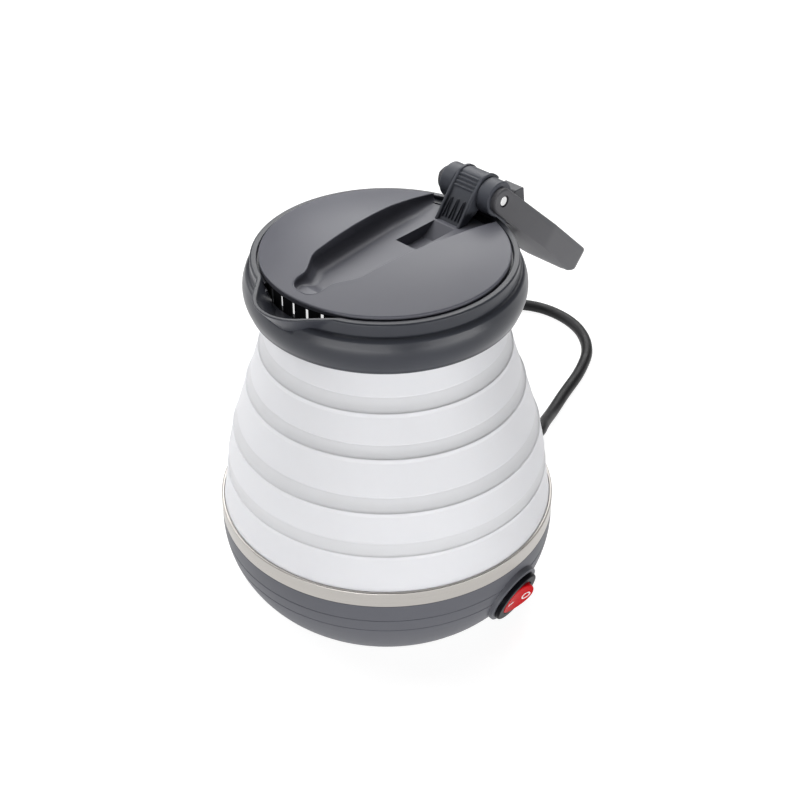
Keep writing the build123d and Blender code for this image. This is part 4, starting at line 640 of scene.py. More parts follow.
@dataclass
class Base:
    """Grey bowl with two hairline grooves, the steel trim ring and what shows underneath."""

    shop: Workshop
    foot_r: float = 57.3
    foot_z: float = 1.0
    face_z: Pair = (3.4, 33.6)
    top_z: float = 34.8
    wall: float = 2.4
    edge_round: float = 1.2
    cover_r: float = 52.9
    cover_sink: float = 1.2
    groove_depth: float = 0.25
    groove_w: float = 0.8
    groove_round: float = 0.07
    grooves_z: Pair = (20.9, 27.1)
    trim_gap: float = 0.05
    trim_h: float = 7.0
    trim_wall: float = 1.1
    catch_turn: float = 23.0
    catch_half_w: float = 2.5
    catch_z: Pair = (16.7, 19.3)
    catch_depth: float = 1.0
    boss: tuple[Point, ...] = ((9.0, -5.0, 0), (13.6, -5.0, 0), (13.6, 0.6, 0.5), (9.0, 0.6, 0))

    def profile(self) -> Array:
        """Closed profile: up the outer face with its grooves, over the top edge and down the inside."""
        clear, seam, half = 0.9, 0.02, self.groove_w / 2
        faces = [(z, 0.0, 0.0) for z in np.linspace(*self.face_z, 24)
                 if min(abs(z - groove) for groove in self.grooves_z) > clear]
        faces += [(z + side, 0.0, 0.0) for z in self.catch_z for side in (-seam, seam)]
        faces += [(z + shift, sink, self.groove_round) for z in self.grooves_z for shift, sink in (
            (-half, 0.0), (-half / 2, self.groove_depth), (half / 2, self.groove_depth), (half, 0.0))]
        inner_z = self.foot_z + self.cover_sink
        return rounded([
            (self.foot_r, self.foot_z, self.edge_round),
            *((bowl_r(z) - sink, z, bend) for z, sink, bend in sorted(faces)),
            (BOWL_TOP_R, self.top_z, 0.25), (BOWL_TOP_R - self.wall, self.top_z, 0),
            (self.foot_r - self.wall, inner_z, 0), (self.cover_r, inner_z, 0),
            (self.cover_r, self.foot_z, 0.3)])

    def tub(self) -> Grid:
        """The bowl all round, with the snap's pocket pressed in between its own rows and columns."""
        low, high = self.catch_z
        half, middle, seam = self.catch_half_w / bowl_r(low), radians(self.catch_turn), 0.0005
        edges = tuple(middle + side + shift for side in (-half, half) for shift in (-seam, seam))
        grid = turned(self.profile(), 320, edges)
        x, y, z = np.moveaxis(grid.points, -1, 0)
        inside = (np.abs(np.arctan2(y, x) - middle) < half) & (z > low) & (z < high)
        inside &= np.hypot(x, y) > bowl_r(low) - 0.5
        grid.points[inside, :2] *= 1 - self.catch_depth / bowl_r(high)
        return grid

    def trim_profile(self) -> Array:
        """Closed profile of the trim ring with a rolled top edge."""
        low, high = self.top_z + self.trim_gap, self.top_z + self.trim_h
        inner = BOWL_TOP_R - self.trim_wall
        return rounded([(inner, low, 0.1), (BOWL_TOP_R, low, 0.25), (BOWL_TOP_R, high, 0.5),
                        (inner, high, 0.15)])

    def build(self) -> None:
        """Makes the tub with the switch's boss and the ring, and dresses what hangs under them."""
        boss = moved(turned(rounded(self.boss), 160), Switch.place())
        self.shop.make("base_tub", [self.tub(), boss], BASE_GREY, Body.BASE, Slot.GREY, "base_housing")
        self.shop.make("trim_ring", [turned(self.trim_profile(), 320)], TRIM_STEEL, Body.BASE,
                       Slot.BRUSHED, "steel_trim_ring")
        self.shop.carry(PIECE_GREY, "bottom_cover")
        self.shop.carry(FOOT_RUBBER, "feet")
        self.shop.carry(PLAIN_STEEL, "cover_screws", "heating_plate", "heating_element", "pan_screws",
                        "thermostat_bracket", "thermostat_discs", "thermal_fuse", "switch_terminals")
        self.shop.carry(CAST_ALUMINIUM, "element_plate")
        self.shop.carry(INNER_WHITE, "terminal_block")
        self.shop.carry(CORD_BLACK, "internal_wires")


@dataclass(frozen=True)
class Ring:
    """One rigid band of the wall: radii and heights of its foot and its lip."""

    node: str
    body: Body
    foot: Pair
    lip: Pair
    straight_z: float | None = None


@dataclass
class Wall:
    """Silicone wall: rigid bands with a rounded lip, thin folds between them and the neck."""

    shop: Workshop
    thick: float = 1.2
    fold_thick: float = 0.6
    sink: float = 0.5
    lip_sink: float = 0.3
    bead: float = 0.3
    bead_h: float = 1.1
    lip_round: float = 0.45
    foot_round: float = 0.9
    straight_round: float = 4.0
    bands: tuple[Ring, ...] = (
        Ring("band_4", Body.BASE, (68.7, 35.5), (66.2, 57.6), 41.8),
        Ring("band_3", Body.BASE, (65.9, 62.9), (63.0, 76.6)),
        Ring("band_2", Body.LOWER_BAND, (61.3, 81.8), (56.5, 97.6)),
        Ring("band_1", Body.UPPER_BAND, (54.8, 101.9), (50.7, 114.8)),
    )
    neck: tuple[Point, ...] = (
        (47.8, 120.0, 0.1), (*NECK_FOOT, 0.9), (44.8, 134.0, 6.0), (44.8, 139.4, 0.2),
        (46.3, 139.4, 0.2), (46.3, 141.0, 0.2), (43.6, 141.0, 0.1), (43.6, 134.0, 4.0),
    )

    def band_profile(self, ring: Ring) -> Array:
        """Closed profile of a band with a soft lip bead and foot, straight at first on the lowest."""
        (foot_r, foot_z), (lip_r, lip_z) = ring.foot, ring.lip
        lean, drop, grow = (foot_r - lip_r) / (lip_z - foot_z), self.bead_h, self.bead
        bead = [(lip_r + shift + lean * drop * part, lip_z - drop * part, bend)
                for part, shift, bend in ((1.7, 0.0, 1.2), (0.5, grow, 0.5))]
        bends = (foot_r, foot_r - self.thick) if ring.straight_z else ()
        up, down = ([(r, ring.straight_z, self.straight_round)] for r in bends) if bends else ([], [])
        return rounded([
            (foot_r - self.thick, foot_z, 0.1), (foot_r, foot_z, 0.1 if bends else self.foot_round),
            *up, *bead, (lip_r + grow, lip_z, self.lip_round), (lip_r - self.thick, lip_z, 0.3), *down])

    def fold_profile(self, lower: Ring, upper: Pair) -> Array:
        """Closed profile of the thin wall between a lip and the next foot, dished a little inwards."""
        low = np.array([lower.lip[0] - self.lip_sink, lower.lip[1] - 0.15])
        high = np.array([upper[0] - self.sink, upper[1] + 0.6])
        share = np.linspace(0, 1, 18)[:, None] ** 1.6
        line = low * (1 - share) + high * share
        line[:, 0] += 0.4 * np.exp(-14 * share[:, 0]) - 0.2 * np.sin(pi * share[:, 0]) ** 2
        return np.concatenate([line, line[::-1] - np.array([self.fold_thick, 0])])

    def build(self) -> None:
        """Makes the bands, the neck and the folds; all folds but the lowest join two bodies and ride on
        neither.
        """
        for ring in self.bands:
            self.shop.make(f"wall_{ring.node}", [turned(self.band_profile(ring))], WALL_WHITE,
                           ring.body, Slot.SILICONE, ring.node)
        self.shop.make("wall_neck", [turned(rounded(self.neck))], WALL_WHITE, Body.COLLAR,
                       Slot.SILICONE, "neck")
        uppers = [(ring.body, ring.foot) for ring in self.bands[1:]] + [(Body.COLLAR, NECK_FOOT)]
        for lower, (body, foot) in zip(self.bands, uppers):
            node = lower.node.replace("band", "fold")
            rigid = body is lower.body
            # Each fold takes the silicone's darker copy, which is painted shade
            piece = self.shop.make(f"wall_{node}", [turned(self.fold_profile(lower, foot))], FOLD_PAINTED_SHADE,
                                   body if rigid else None, Slot.SILICONE, node)
            if not rigid:
                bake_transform(piece)


@dataclass
class Collar:
    """Barrel-shaped collar with the rim, the spout, its strainer and the hinge knuckles."""

    shop: Workshop
    barrel_foot: Pair = (53.8, 135.6)
    barrel_head: Pair = (53.55, 149.4)
    bulge: float = 1.9
    foot_round: float = 1.6
    shoulder_z: float = 146.6
    shoulder: tuple[Point, ...] = ((53.95, 149.3, 2.6), (52.15, 149.75, 0.9), (52.0, 152.5, 0))
    barrel_inside: tuple[Pair, ...] = ((50.0, 152.5), (47.95, 146.0), (47.95, 134.0), (50.4, 134.0))
    rim_r: float = 52.15
    seat_r: float = 49.35
    mouth_r: float = 46.35
    rim_z: float = 155.0
    seat_z: float = 153.4
    rim_foot_z: float = 145.0
    lip: float = 0.8
    inner_lip: float = 0.5
    tip_r: float = 63.3
    tip_rise: float = 0.6
    tip_round: float = 17.0
    foot_tip_round: float = 10.0
    side_angle: float = 42.1
    lean: float = 8.2
    spout_heights: tuple[float, ...] = (145.0, 147.0, 149.0, 151.0, 153.0)
    spout_floor_z: float = 147.0
    spout_wall: float = 1.9
    blend: float = 0.35
    drum_r: float = 7.3
    drum_sides: Pair = (6.8, 13.0)
    pillar_y: Pair = (PIN_Y - 2.8, PIN_Y + 4.6)
    deck: tuple[Point, ...] = (
        (50.0, 146.2, 0), (56.4, 146.2, 1.0), (56.4, 154.4, 1.0), (50.0, 154.4, 0))
    deck_half_w: float = 12.9
    strainer_r: Pair = (48.0, 48.5)
    strainer_z: tuple[float, ...] = (146.9, 147.2, 153.7, 154.05)
    strainer_turn: float = 33.0
    slot_w: float = 1.4

    def barrel_profile(self) -> Array:
        """Closed profile of the barrel: foot round, bulge, soft shoulder, cove and hidden inside."""
        share = np.linspace(0, 1, 17)[:, None]
        foot, head = np.array(self.barrel_foot), np.array(self.barrel_head)
        face = foot + share * (head - foot) + np.array([self.bulge, 0]) * 4 * share * (1 - share)
        side = face[face[:, 1] < self.shoulder_z]
        corners = rounded([(*side[-1], 0), *self.shoulder], closed=False, steps=8)
        bend = arc((foot[0] - self.foot_round, foot[1]), self.foot_round, -90, 0, 6)
        return np.concatenate([bend, side[1:-1], corners, self.barrel_inside])

    def barrel_grid(self) -> Grid:
        """The barrel all round, lowered under the spout's floor where it would stand in the spout."""
        grid = turned(self.barrel_profile(), 720)
        x, y, z = np.moveaxis(grid.points, -1, 0)
        vee = self.wall_r(np.abs(np.arctan2(x, -y)), z, self.spout_wall * 0.5)
        inside = (vee > self.rim_r + 0.1) & (np.hypot(x, y) < vee)
        grid.points[..., 2] = np.where(inside, np.minimum(z, self.spout_floor_z - 0.15), z)
        return grid

    def wall_r(self, turn: Array, z: Array | float, inside: float) -> Array:
        """Radius of the rim's and the spout's wall, the larger of the two with a short blend between.

        Args:
            turn: Angle from the spout's line, in radians, not negative.
            z: Height.
            inside: How far inside the outer face.

        Returns:
            The radii.
        """
        top_z = self.rim_z + self.tip_rise
        share = (top_z - z) / (top_z - self.spout_heights[0])
        tip = self.tip_round + (self.foot_tip_round - self.tip_round) * share - inside
        ring = self.rim_r - inside * (self.rim_r - self.seat_r) / self.spout_wall
        gap = self.spout_r(turn, self.lean * share + inside, np.maximum(tip, 2.0)) - ring
        return ring + 0.5 * (gap + np.sqrt(gap * gap + self.blend**2))

    def spout_r(self, turn: Array, inset: Array, round_r: Array) -> Array:
        """Distance from the axis to the V of the spout, by the angle from its line.

        The V's sides are lines at the side angle from the spout's line, and a circle of round_r
        touches both: the distance is that to the circle near the tip and to the line elsewhere.

        Args:
            turn: Angle from -Y, in radians, not negative.
            inset: How far the V lies inside the lip's outline.
            round_r: Radius of the tip.

        Returns:
            The distances.
        """
        side = radians(self.side_angle)
        apex = self.tip_r + self.tip_round * (1 / sin(side) - 1) - inset / sin(side)
        centre = apex - round_r / sin(side)
        line = apex * sin(side) / np.maximum(np.sin(side + turn), 0.2)
        touch = np.arctan2(round_r * cos(side), centre + round_r * sin(side))
        reach = np.clip(round_r**2 - (centre * np.sin(turn)) ** 2, 0, None)
        tip = centre * np.cos(turn) + np.sqrt(reach)
        return np.where(turn < touch, tip, line) * (turn < radians(60))

    def rim_grid(self) -> Grid:
        """Rim and spout as one wall: at each angle a closed section, whose radius is the larger one."""
        angle = full_turn(900)
        turn = np.abs((angle + pi) % (2 * pi) - pi)
        top_z = self.rim_z + self.tip_rise * (1 - smoothstep(turn, radians(12), radians(30)))
        wall = self.spout_wall
        sections = [(self.wall_r(turn, z, 0.0), z) for z in self.spout_heights]
        for bend in angles(0, 90, 6):
            z = top_z - self.lip + self.lip * np.sin(bend)
            sections.append((self.wall_r(turn, z, 0.0) - self.lip * (1 - np.cos(bend)), z))
        for bend in angles(90, 0, 5):
            z = top_z - self.inner_lip + self.inner_lip * np.sin(bend)
            sections.append((self.wall_r(turn, z, wall) + self.inner_lip * (1 - np.cos(bend)), z))
        in_spout = self.wall_r(turn, self.seat_z, wall) - self.seat_r > 0.45
        floor = np.where(in_spout, self.spout_floor_z, self.seat_z)
        for share in (0.35, 0.7, 1.0):
            z = top_z - self.inner_lip + (floor - top_z + self.inner_lip) * share
            sections.append((self.wall_r(turn, z, wall), z))
        sections += [(self.mouth_r, floor), (self.mouth_r, self.rim_foot_z)]
        return Grid(np.stack([around(radius, angle, z) for radius, z in sections]), wrap_rows=True)

    def knuckle_grids(self) -> list[Grid]:
        """Two drums on pillars: a circle about the pin that runs down into a straight block."""
        (front, back), low = self.pillar_y, self.deck[0][1]
        drum = arc((PIN_Y, PIN_Z), self.drum_r, -62, 245, 59)
        loop = np.concatenate([[(back, low), (back, PIN_Z - 6.0)], drum,
                               [(front, PIN_Z - 6.8), (front, low)]])
        return [slab(loop, *sorted(side * x for x in self.drum_sides), 0.5) for side in (-1, 1)]

    def strainer_grids(self) -> list[Grid]:
        """The strainer as a thin curved wall between seven slots: posts, a foot band and a top band."""
        half, last = self.slot_w / 2 / self.strainer_r[1], radians(self.strainer_turn)
        slots = np.radians(np.arange(-24.0, 25.0, 8.0))
        edges = np.concatenate([[-last], np.stack([slots - half, slots + half], 1).ravel(), [last]])
        foot, low, high, top = self.strainer_z
        spans = [(*ends, low, high) for ends in edges.reshape(-1, 2)]
        spans += [(-last, last, foot, low), (-last, last, high, top)]
        return [bent_bar(self.strainer_r, (z0, z1), np.linspace(a, b, 3 + int(abs(b - a) * 60)))
                for a, b, z0, z1 in spans]

    def build(self) -> None:
        """Makes the barrel, the rim with its spout, the strainer and the knuckles on their deck."""
        make, body = self.shop.make, Body.COLLAR
        deck = slab(rounded(self.deck), -self.deck_half_w, self.deck_half_w, 0.4)
        make("collar_barrel", [self.barrel_grid()], COLLAR_GREY, body, Slot.GREY, "collar")
        make("collar_rim", [self.rim_grid()], COLLAR_GREY, body, Slot.GREY, sharp=42.0)
        make("hinge_knuckles", [*self.knuckle_grids(), deck], ARM_GREY, body, Slot.GREY)
        make("spout_grille", self.strainer_grids(), STRAINER_BLACK, body, Slot.GREY, "spout_strainer")
        self.shop.carry(COLLAR_GREY, "clamp_ring")
        self.shop.carry(PIN_STEEL, "hinge_pin")


@dataclass
class Lid:
    """Domed lid with the trough for the folded handle, its liner, seal and arm."""

    shop: Workshop
    edge_r: float = 48.65
    foot_z: float = 154.2
    crown_z: float = 162.2
    dome_r: float = 200.26
    edge_round: float = 0.7
    skin: float = 1.9
    rim_w: float = 1.8
    floor_z: float = 153.0
    floor_rise: float = 2.1
    floor_round: float = 4.6
    tip_bend: float = 3.0
    lip_round: float = 0.5
    trough: tuple[Point, ...] = (
        (16.8, 45.65, 0), (16.8, 20.0, 60.0), (12.6, -26.0, 11.0), (6.6, -35.0, 6.0),
        (6.2, -44.4, 5.0), (0.0, -44.4, 0),
    )
    pocket_half_w: float = 5.6
    pocket_y: Point = (12.0, 27.0, 34.0)
    pocket_depth: float = 4.8
    arm_front: tuple[Pair, ...] = ((35.0, 153.0), (44.0, 165.0), (48.6, 170.0))
    arm_back: tuple[Pair, ...] = ((39.4, 153.0), (50.0, 158.5), (57.0, 163.0))
    arm_half_w: float = 6.2
    arm_sink: float = 0.8
    rail_x: Pair = (5.1, 6.6)
    ridge_shares: tuple[float, ...] = (0.12, 0.37, 0.62, 0.86)
    flute_x: Point = (-3.3, 0.0, 3.3)
    eye: tuple[Point, ...] = ((2.2, -6.55, 0), (6.3, -6.55, 0.4), (6.3, 6.55, 0.4), (2.2, 6.55, 0))
    skirt_r: Pair = (45.7, 46.1)
    skirt_z: Pair = (145.4, 153.8)
    skirt_turn: float = 40.0

    def dome(self, x: Array, y: Array) -> Array:
        """Height of the outer face: the crown less the drop of a ball of dome_r."""
        return self.crown_z - self.dome_r + np.sqrt(self.dome_r**2 - x * x - y * y)

    def outline(self) -> Array:
        """Half of the trough's outline, from its rear right corner to the middle of its tip."""
        line, seam = rounded(self.trough, closed=False, steps=14), 0.12
        run = run_of(line)
        wanted = set(np.linspace(0, run[-1], 96))
        for y in self.pocket_y:
            at = np.interp(-y, -line[:, 1], run)
            wanted |= {at - seam, at + seam}
        places = np.array(sorted(wanted))
        return np.stack([np.interp(places, run, line[:, k]) for k in (0, 1)], 1)

    def floor_height(self, y: Array) -> Array:
        """The trough's floor, which rises under the fingers past the handle's tip."""
        return self.floor_z + self.floor_rise * (1 - smoothstep(y, -39.5, -34.0))

    def floor_bend(self, edge: Array, floor: Array) -> Array:
        """Radius between the trough's floor and wall, evened along it and under the wall's height."""
        bend = np.clip(np.abs(edge[:, 0]) * 0.6, 2.8, self.floor_round)
        bend = np.where(edge[:, 1] < -36, self.tip_bend, bend)
        bend = np.convolve(np.pad(bend, 6, "edge"), np.ones(13) / 13, "valid")
        return np.minimum(bend, (self.dome(*edge.T) - floor - self.lip_round) * 0.85)

    def strip(self) -> Grid:
        """The horseshoe: at each place of the outline a closed section from the floor to the rim.

        The section runs up the wall, over the lip, along the dome to the rim, down to the foot and
        back underneath. Each point of the outline is paired with a point of the rim by its share of
        the way round.
        """
        half = self.outline()
        edge = np.concatenate([half, (half * [-1, 1])[-2::-1]])
        ahead = unit(np.gradient(edge, axis=0))
        inward = np.stack([ahead[:, 1], -ahead[:, 0]], 1)
        inward *= np.sign((inward * ([0, 10] - edge)).sum(1, keepdims=True))
        inward[0], inward[-1] = (-1, 0), (1, 0)
        run, start = run_of(edge), np.arctan2(edge[0, 1], edge[0, 0])
        turn = start - (pi + 2 * start) * run / run[-1]
        rim = np.stack([np.cos(turn), np.sin(turn)], 1) * self.edge_r
        width = np.linalg.norm(rim - edge, axis=1, keepdims=True)
        back = (rim - edge) / np.maximum(width, TINY)
        floor, lip_z = self.floor_height(edge[:, 1]), self.dome(*edge.T)
        bend = self.floor_bend(edge, floor)
        small = np.minimum(self.lip_round, width * 0.3)
        rows: list[tuple[Array, Array]] = []
        for angle in angles(0, 90, 10):
            rows.append((edge + inward * (bend * (1 - sin(angle)))[:, None],
                         floor + bend * (1 - cos(angle))))
        for angle in angles(0, 90, 4):
            rows.append((edge + back * small * (1 - cos(angle)),
                         lip_z - small[:, 0] * (1 - sin(angle))))
        first, last = edge + back * small, rim * (1 - self.edge_round / self.edge_r)
        last = np.where(width > 1.5, last, first + (rim - first) * 0.6)
        flats = [first + (last - first) * share for share in np.linspace(0.07, 1, 14)]
        rows += [(flat, self.dome(*flat.T)) for flat in flats]
        for angle in angles(20, 90, 4):
            rows.append((last + (rim - last) * sin(angle),
                         self.dome(*last.T) - self.edge_round * (1 - cos(angle))))
        foot = np.full(len(rim), self.foot_z)
        low_rim = rim * (1 - self.rim_w / self.edge_r)
        low_rim = np.where(width > 4.5, low_rim, edge + (rim - edge) * 0.55)
        out = edge + (low_rim - edge) * np.minimum(self.skin / np.maximum(width, TINY), 0.4)
        rows += [(rim, foot), (low_rim, foot),
                 (low_rim, np.minimum(self.dome(*low_rim.T) - self.skin, self.foot_z + 0.4)),
                 (out, self.dome(*out.T) - self.skin), (out, floor - self.skin),
                 (rows[0][0], floor - self.skin)]
        return replace(bar(np.stack([np.column_stack(row) for row in rows], 1)), wrap_columns=False)

    def floor_grids(self, strip: Grid) -> list[Grid]:
        """The trough's floor between the strip's sides: its top, its underside and its rear edge."""
        count = (len(strip.points) + 1) // 2
        inner = np.array([0.0, 0.35, 0.7, 0.97, 1.0]) * self.pocket_half_w
        inner = np.concatenate([-inner[:0:-1], inner])
        front, ramp, rear = self.pocket_y
        sheets = []
        for line in (strip.points[:, 0], strip.points[:, -1]):
            right, left = line[:count], line[::-1][:count]
            wide = np.abs(right[:, :1])
            core = inner * np.minimum(1, wide / (self.pocket_half_w * 1.3))
            plus = core[:, -1:] + (wide - core[:, -1:]) * np.linspace(0, 1, 6)[1:]
            x = np.concatenate([-plus[:, ::-1], core, plus], 1)
            x[:, 0], x[:, -1] = left[:, 0], right[:, 0]
            y, z = (np.broadcast_to(right[:, k:k + 1], x.shape) for k in (1, 2))
            sink = np.clip((rear - y) / (rear - ramp), 0, 1) * (y > front) * (wide > 8)
            z = z - self.pocket_depth * sink * (np.abs(x) < self.pocket_half_w * 0.98)
            sheets.append(np.stack([x, y, z], -1))
        sheets.append(np.stack([sheet[0] for sheet in sheets]))
        return [Grid(sheet, wrap_columns=False) for sheet in sheets]

    def arm_loop(self, sink: float) -> Array:
        """Side view of the arm as (Y, Z) points, its two front faces lowered by sink."""
        front, pin = np.array(self.arm_front), np.array([PIN_Y, PIN_Z])
        runs = unit(np.diff(front, axis=0))
        out = np.stack([-runs[:, 1], runs[:, 0]], 1)
        lower, middle, upper = front - np.stack([out[0], out.mean(0), out[1]]) * sink
        reach = front[-1] - pin
        start = np.degrees(np.arctan2(reach[1], reach[0]))
        crown = arc((PIN_Y, PIN_Z), float(np.linalg.norm(reach)) - sink * 0.6, start - 6, 35.0, 12)
        return np.concatenate([[lower], self.arm_back, crown[::-1], [upper, middle]])

    def arm_grids(self) -> list[Grid]:
        """The arm: a body with lowered front faces, two side rails, four ridges and thin flutes."""
        grids = [slab(self.arm_loop(self.arm_sink), -self.arm_half_w, self.arm_half_w, 0.3)]
        grids += [slab(self.arm_loop(0.0), *sorted(side * x for x in self.rail_x), 0.4)
                  for side in (-1, 1)]
        foot, knee, top = (Vector((0, *point)) for point in self.arm_front)
        run, across = (top - knee).normalized(), Vector((5.2, 0, 0))
        out = Vector((0, -run.z, run.y))
        for share in self.ridge_shares:
            middle = knee + (top - knee) * share - out * 0.75
            grids.append(beam(middle - across, middle + across, out, (0.5, 0.5), 0.6))
        run = (knee - foot).normalized()
        out = Vector((0, -run.z, run.y))
        for x in self.flute_x:
            for lean in (-1, 1):
                low, high = (foot + run * way + Vector((x + lean * apart, 0, 0)) - out * 0.78
                             for way, apart in ((2.2, 0.85), (10.8, 0.2)))
                grids.append(beam(low, high, out, (0.32, 0.2), 0.6))
        place = Matrix.Translation((0, PIN_Y, PIN_Z)) @ Matrix.Rotation(pi / 2, 4, "Y")
        return [*grids, moved(turned(rounded(self.eye), 72), place)]

    def build(self) -> None:
        """Makes the cover, the arm and the skirt behind the strainer, and dresses the lid's rest."""
        strip = self.strip()
        self.shop.make("lid_dome", [strip, *self.floor_grids(strip)], LID_GREY, Body.LID, Slot.GREY,
                       "lid_cover", sharp=32.0, joined=True)
        self.shop.make("hinge_arm", self.arm_grids(), ARM_GREY, Body.LID, Slot.DARK, "lid_arm",
                       sharp=34.0)
        # The skirt behind the strainer glows, which is painted light seen through the slots
        end = radians(self.skirt_turn)
        skirt = bent_bar(self.skirt_r, self.skirt_z, np.linspace(-end, end, 60))
        self.shop.make("liner_skirt", [skirt], SKIRT_PAINTED_GLOW, Body.LID, Slot.WHITE)
        self.shop.carry(INNER_WHITE, "lid_liner")
        self.shop.carry(WALL_WHITE, "lid_seal")


@dataclass
class Handle:
    """Hinged handle with its cover, screws and release button, drawn along Y from the pin."""

    shop: Workshop
    droop: float = 42.2
    long: float = 85.0
    half_w: float = 15.5
    tip_half_w: float = 10.0
    waist: float = 42.0
    tip_round: float = 8.5
    top_h: float = 5.1
    nose: float = 6.2
    edge: float = 1.1
    eye_r: float = 5.7
    belly: float = -9.1
    arch: float = 3.2
    slot: tuple[Pair, ...] = ((-9.0, -12.0), (16.5, -12.0), (16.5, 9.0), (-9.0, 9.0))
    slot_half_w: float = 13.15
    recess: tuple[Pair, ...] = ((0.0, 14.6), (2.5, 14.6), (2.5, 16.4), (0.0, 16.4))
    seat_z: Pair = (3.5, 7.0)
    button: tuple[Point, ...] = (
        (19.4, 3.0, 0), (31.0, 3.0, 0), (31.0, 5.1, 0.4), (23.4, 11.5, 0.8), (19.4, 8.2, 0.6))
    button_half_w: float = 4.8

    def place(self) -> Matrix:
        """Where the drawn handle goes: from the pin outwards and down."""
        return Matrix.Translation((0, PIN_Y, PIN_Z)) @ Matrix.Rotation(-radians(self.droop), 4, "X")

    def width(self, s: Array) -> Array:
        """Half width along the handle, parallel by the pin and tapering to the rounded tip."""
        return read_off(s, [(-9.0, self.half_w, 0), (self.waist, self.half_w, 30.0),
                            (self.long, self.tip_half_w, self.tip_round), (self.long, 0.0, 0)], 16)

    def underside(self, s: Array) -> Array:
        """Lowest height along the handle's middle."""
        return read_off(s, [(14.0, -5.7, 0), (17.5, -5.7, 6.0), (26.0, self.belly, 8.0),
                            (55.0, self.belly, 50.0), (74.0, -7.7, 25.0), (self.long, -3.8, 2.6),
                            (self.long, 0.0, 0)], 12)

    def heights(self, s: Array) -> tuple[Array, Array]:
        """Lowest and highest heights along the handle, on a circle about the pin at its eye."""
        ahead = s - self.long + self.nose
        tip = self.top_h - self.nose + np.sqrt(np.clip(self.nose**2 - ahead**2, 0, None))
        high = np.where(ahead > 0, tip, self.top_h)
        eye = np.sqrt(np.clip(self.eye_r**2 - np.minimum(s, 0) ** 2, 0.02, None)) / self.eye_r
        middle = (self.top_h - self.eye_r) / 2
        high = np.where(s < 0, middle + (self.top_h - middle) * eye, high)
        return np.where(s < 0, middle - (middle + self.eye_r) * eye, self.underside(s)), high

    def body(self) -> Grid:
        """Closed sections along the handle: flat outside, arched inside, with rounded edges.

        The underside is the higher of the handle's own line and an arch that rises from the belly
        towards both sides.
        """
        s = np.concatenate([
            (self.eye_r - 0.05) * np.sin(angles(-90, 0, 12)),
            np.linspace(1.5, 16.0, 9), np.linspace(17.5, 76.0, 40),
            self.long - 9.0 * np.cos(angles(8, 89, 16))])
        rows = []
        for at, wide, low, high in zip(s, self.width(s), *self.heights(s)):
            tall = high - low
            edge = min(self.edge, tall * 0.3, wide * 0.4)
            x = np.linspace(-1, 1, 13)[1:-1] * (wide - edge)
            arch = np.minimum(np.maximum(self.belly + self.arch * (x / self.half_w) ** 2, low), high)
            side = max(low, self.belly + self.arch * (wide / self.half_w) ** 2)
            side = min(side, high - tall * 0.5)
            loop = rounded([(wide, side, edge), (wide, high, edge), (-wide, high, edge),
                            (-wide, side, edge)], steps=5)
            loop = np.concatenate([loop, np.stack([x, arch], 1)])
            rows.append(np.insert(loop, 1, at, axis=1))
        return bar(np.stack(rows))

    def cuts(self) -> list[Grid]:
        """The slot between the plates, the pin's two recesses and the cover's seat."""
        across = Matrix.Rotation(pi / 2, 4, "Y")
        recesses = [moved(turned(np.array(self.recess) * [1, side], 48), across) for side in (-1, 1)]
        s = np.linspace(18.0, self.long - self.nose, 30)
        wide, (low, high) = self.width(s) - 1.5, self.seat_z
        seat = np.stack([np.stack([x, s, np.full_like(s, z)], -1)
                         for x, z in ((wide, low), (wide, high), (-wide, high), (-wide, low))], 1)
        slot = slab(np.array(self.slot), -self.slot_half_w, self.slot_half_w, 0.0)
        return [slot, *recesses, bar(seat)]

    def build(self) -> None:
        """Makes the shell and the button, and dresses the cover and the screws."""
        place = self.place()
        button = slab(rounded(self.button), -self.button_half_w, self.button_half_w, 0.45)
        self.shop.make("handle_shell", [moved(self.body(), place)], HANDLE_GREY, Body.HANDLE, Slot.DARK,
                       "handle", sharp=34.0, cuts=[moved(cut, place) for cut in self.cuts()])
        self.shop.make("handle_button", [moved(button, place)], PIECE_GREY, Body.BUTTON, Slot.DARK,
                       "release_button", sharp=34.0)
        self.shop.carry(PIECE_GREY, "handle_cover")
        self.shop.carry(PLAIN_STEEL, "handle_screws", "button_spring")


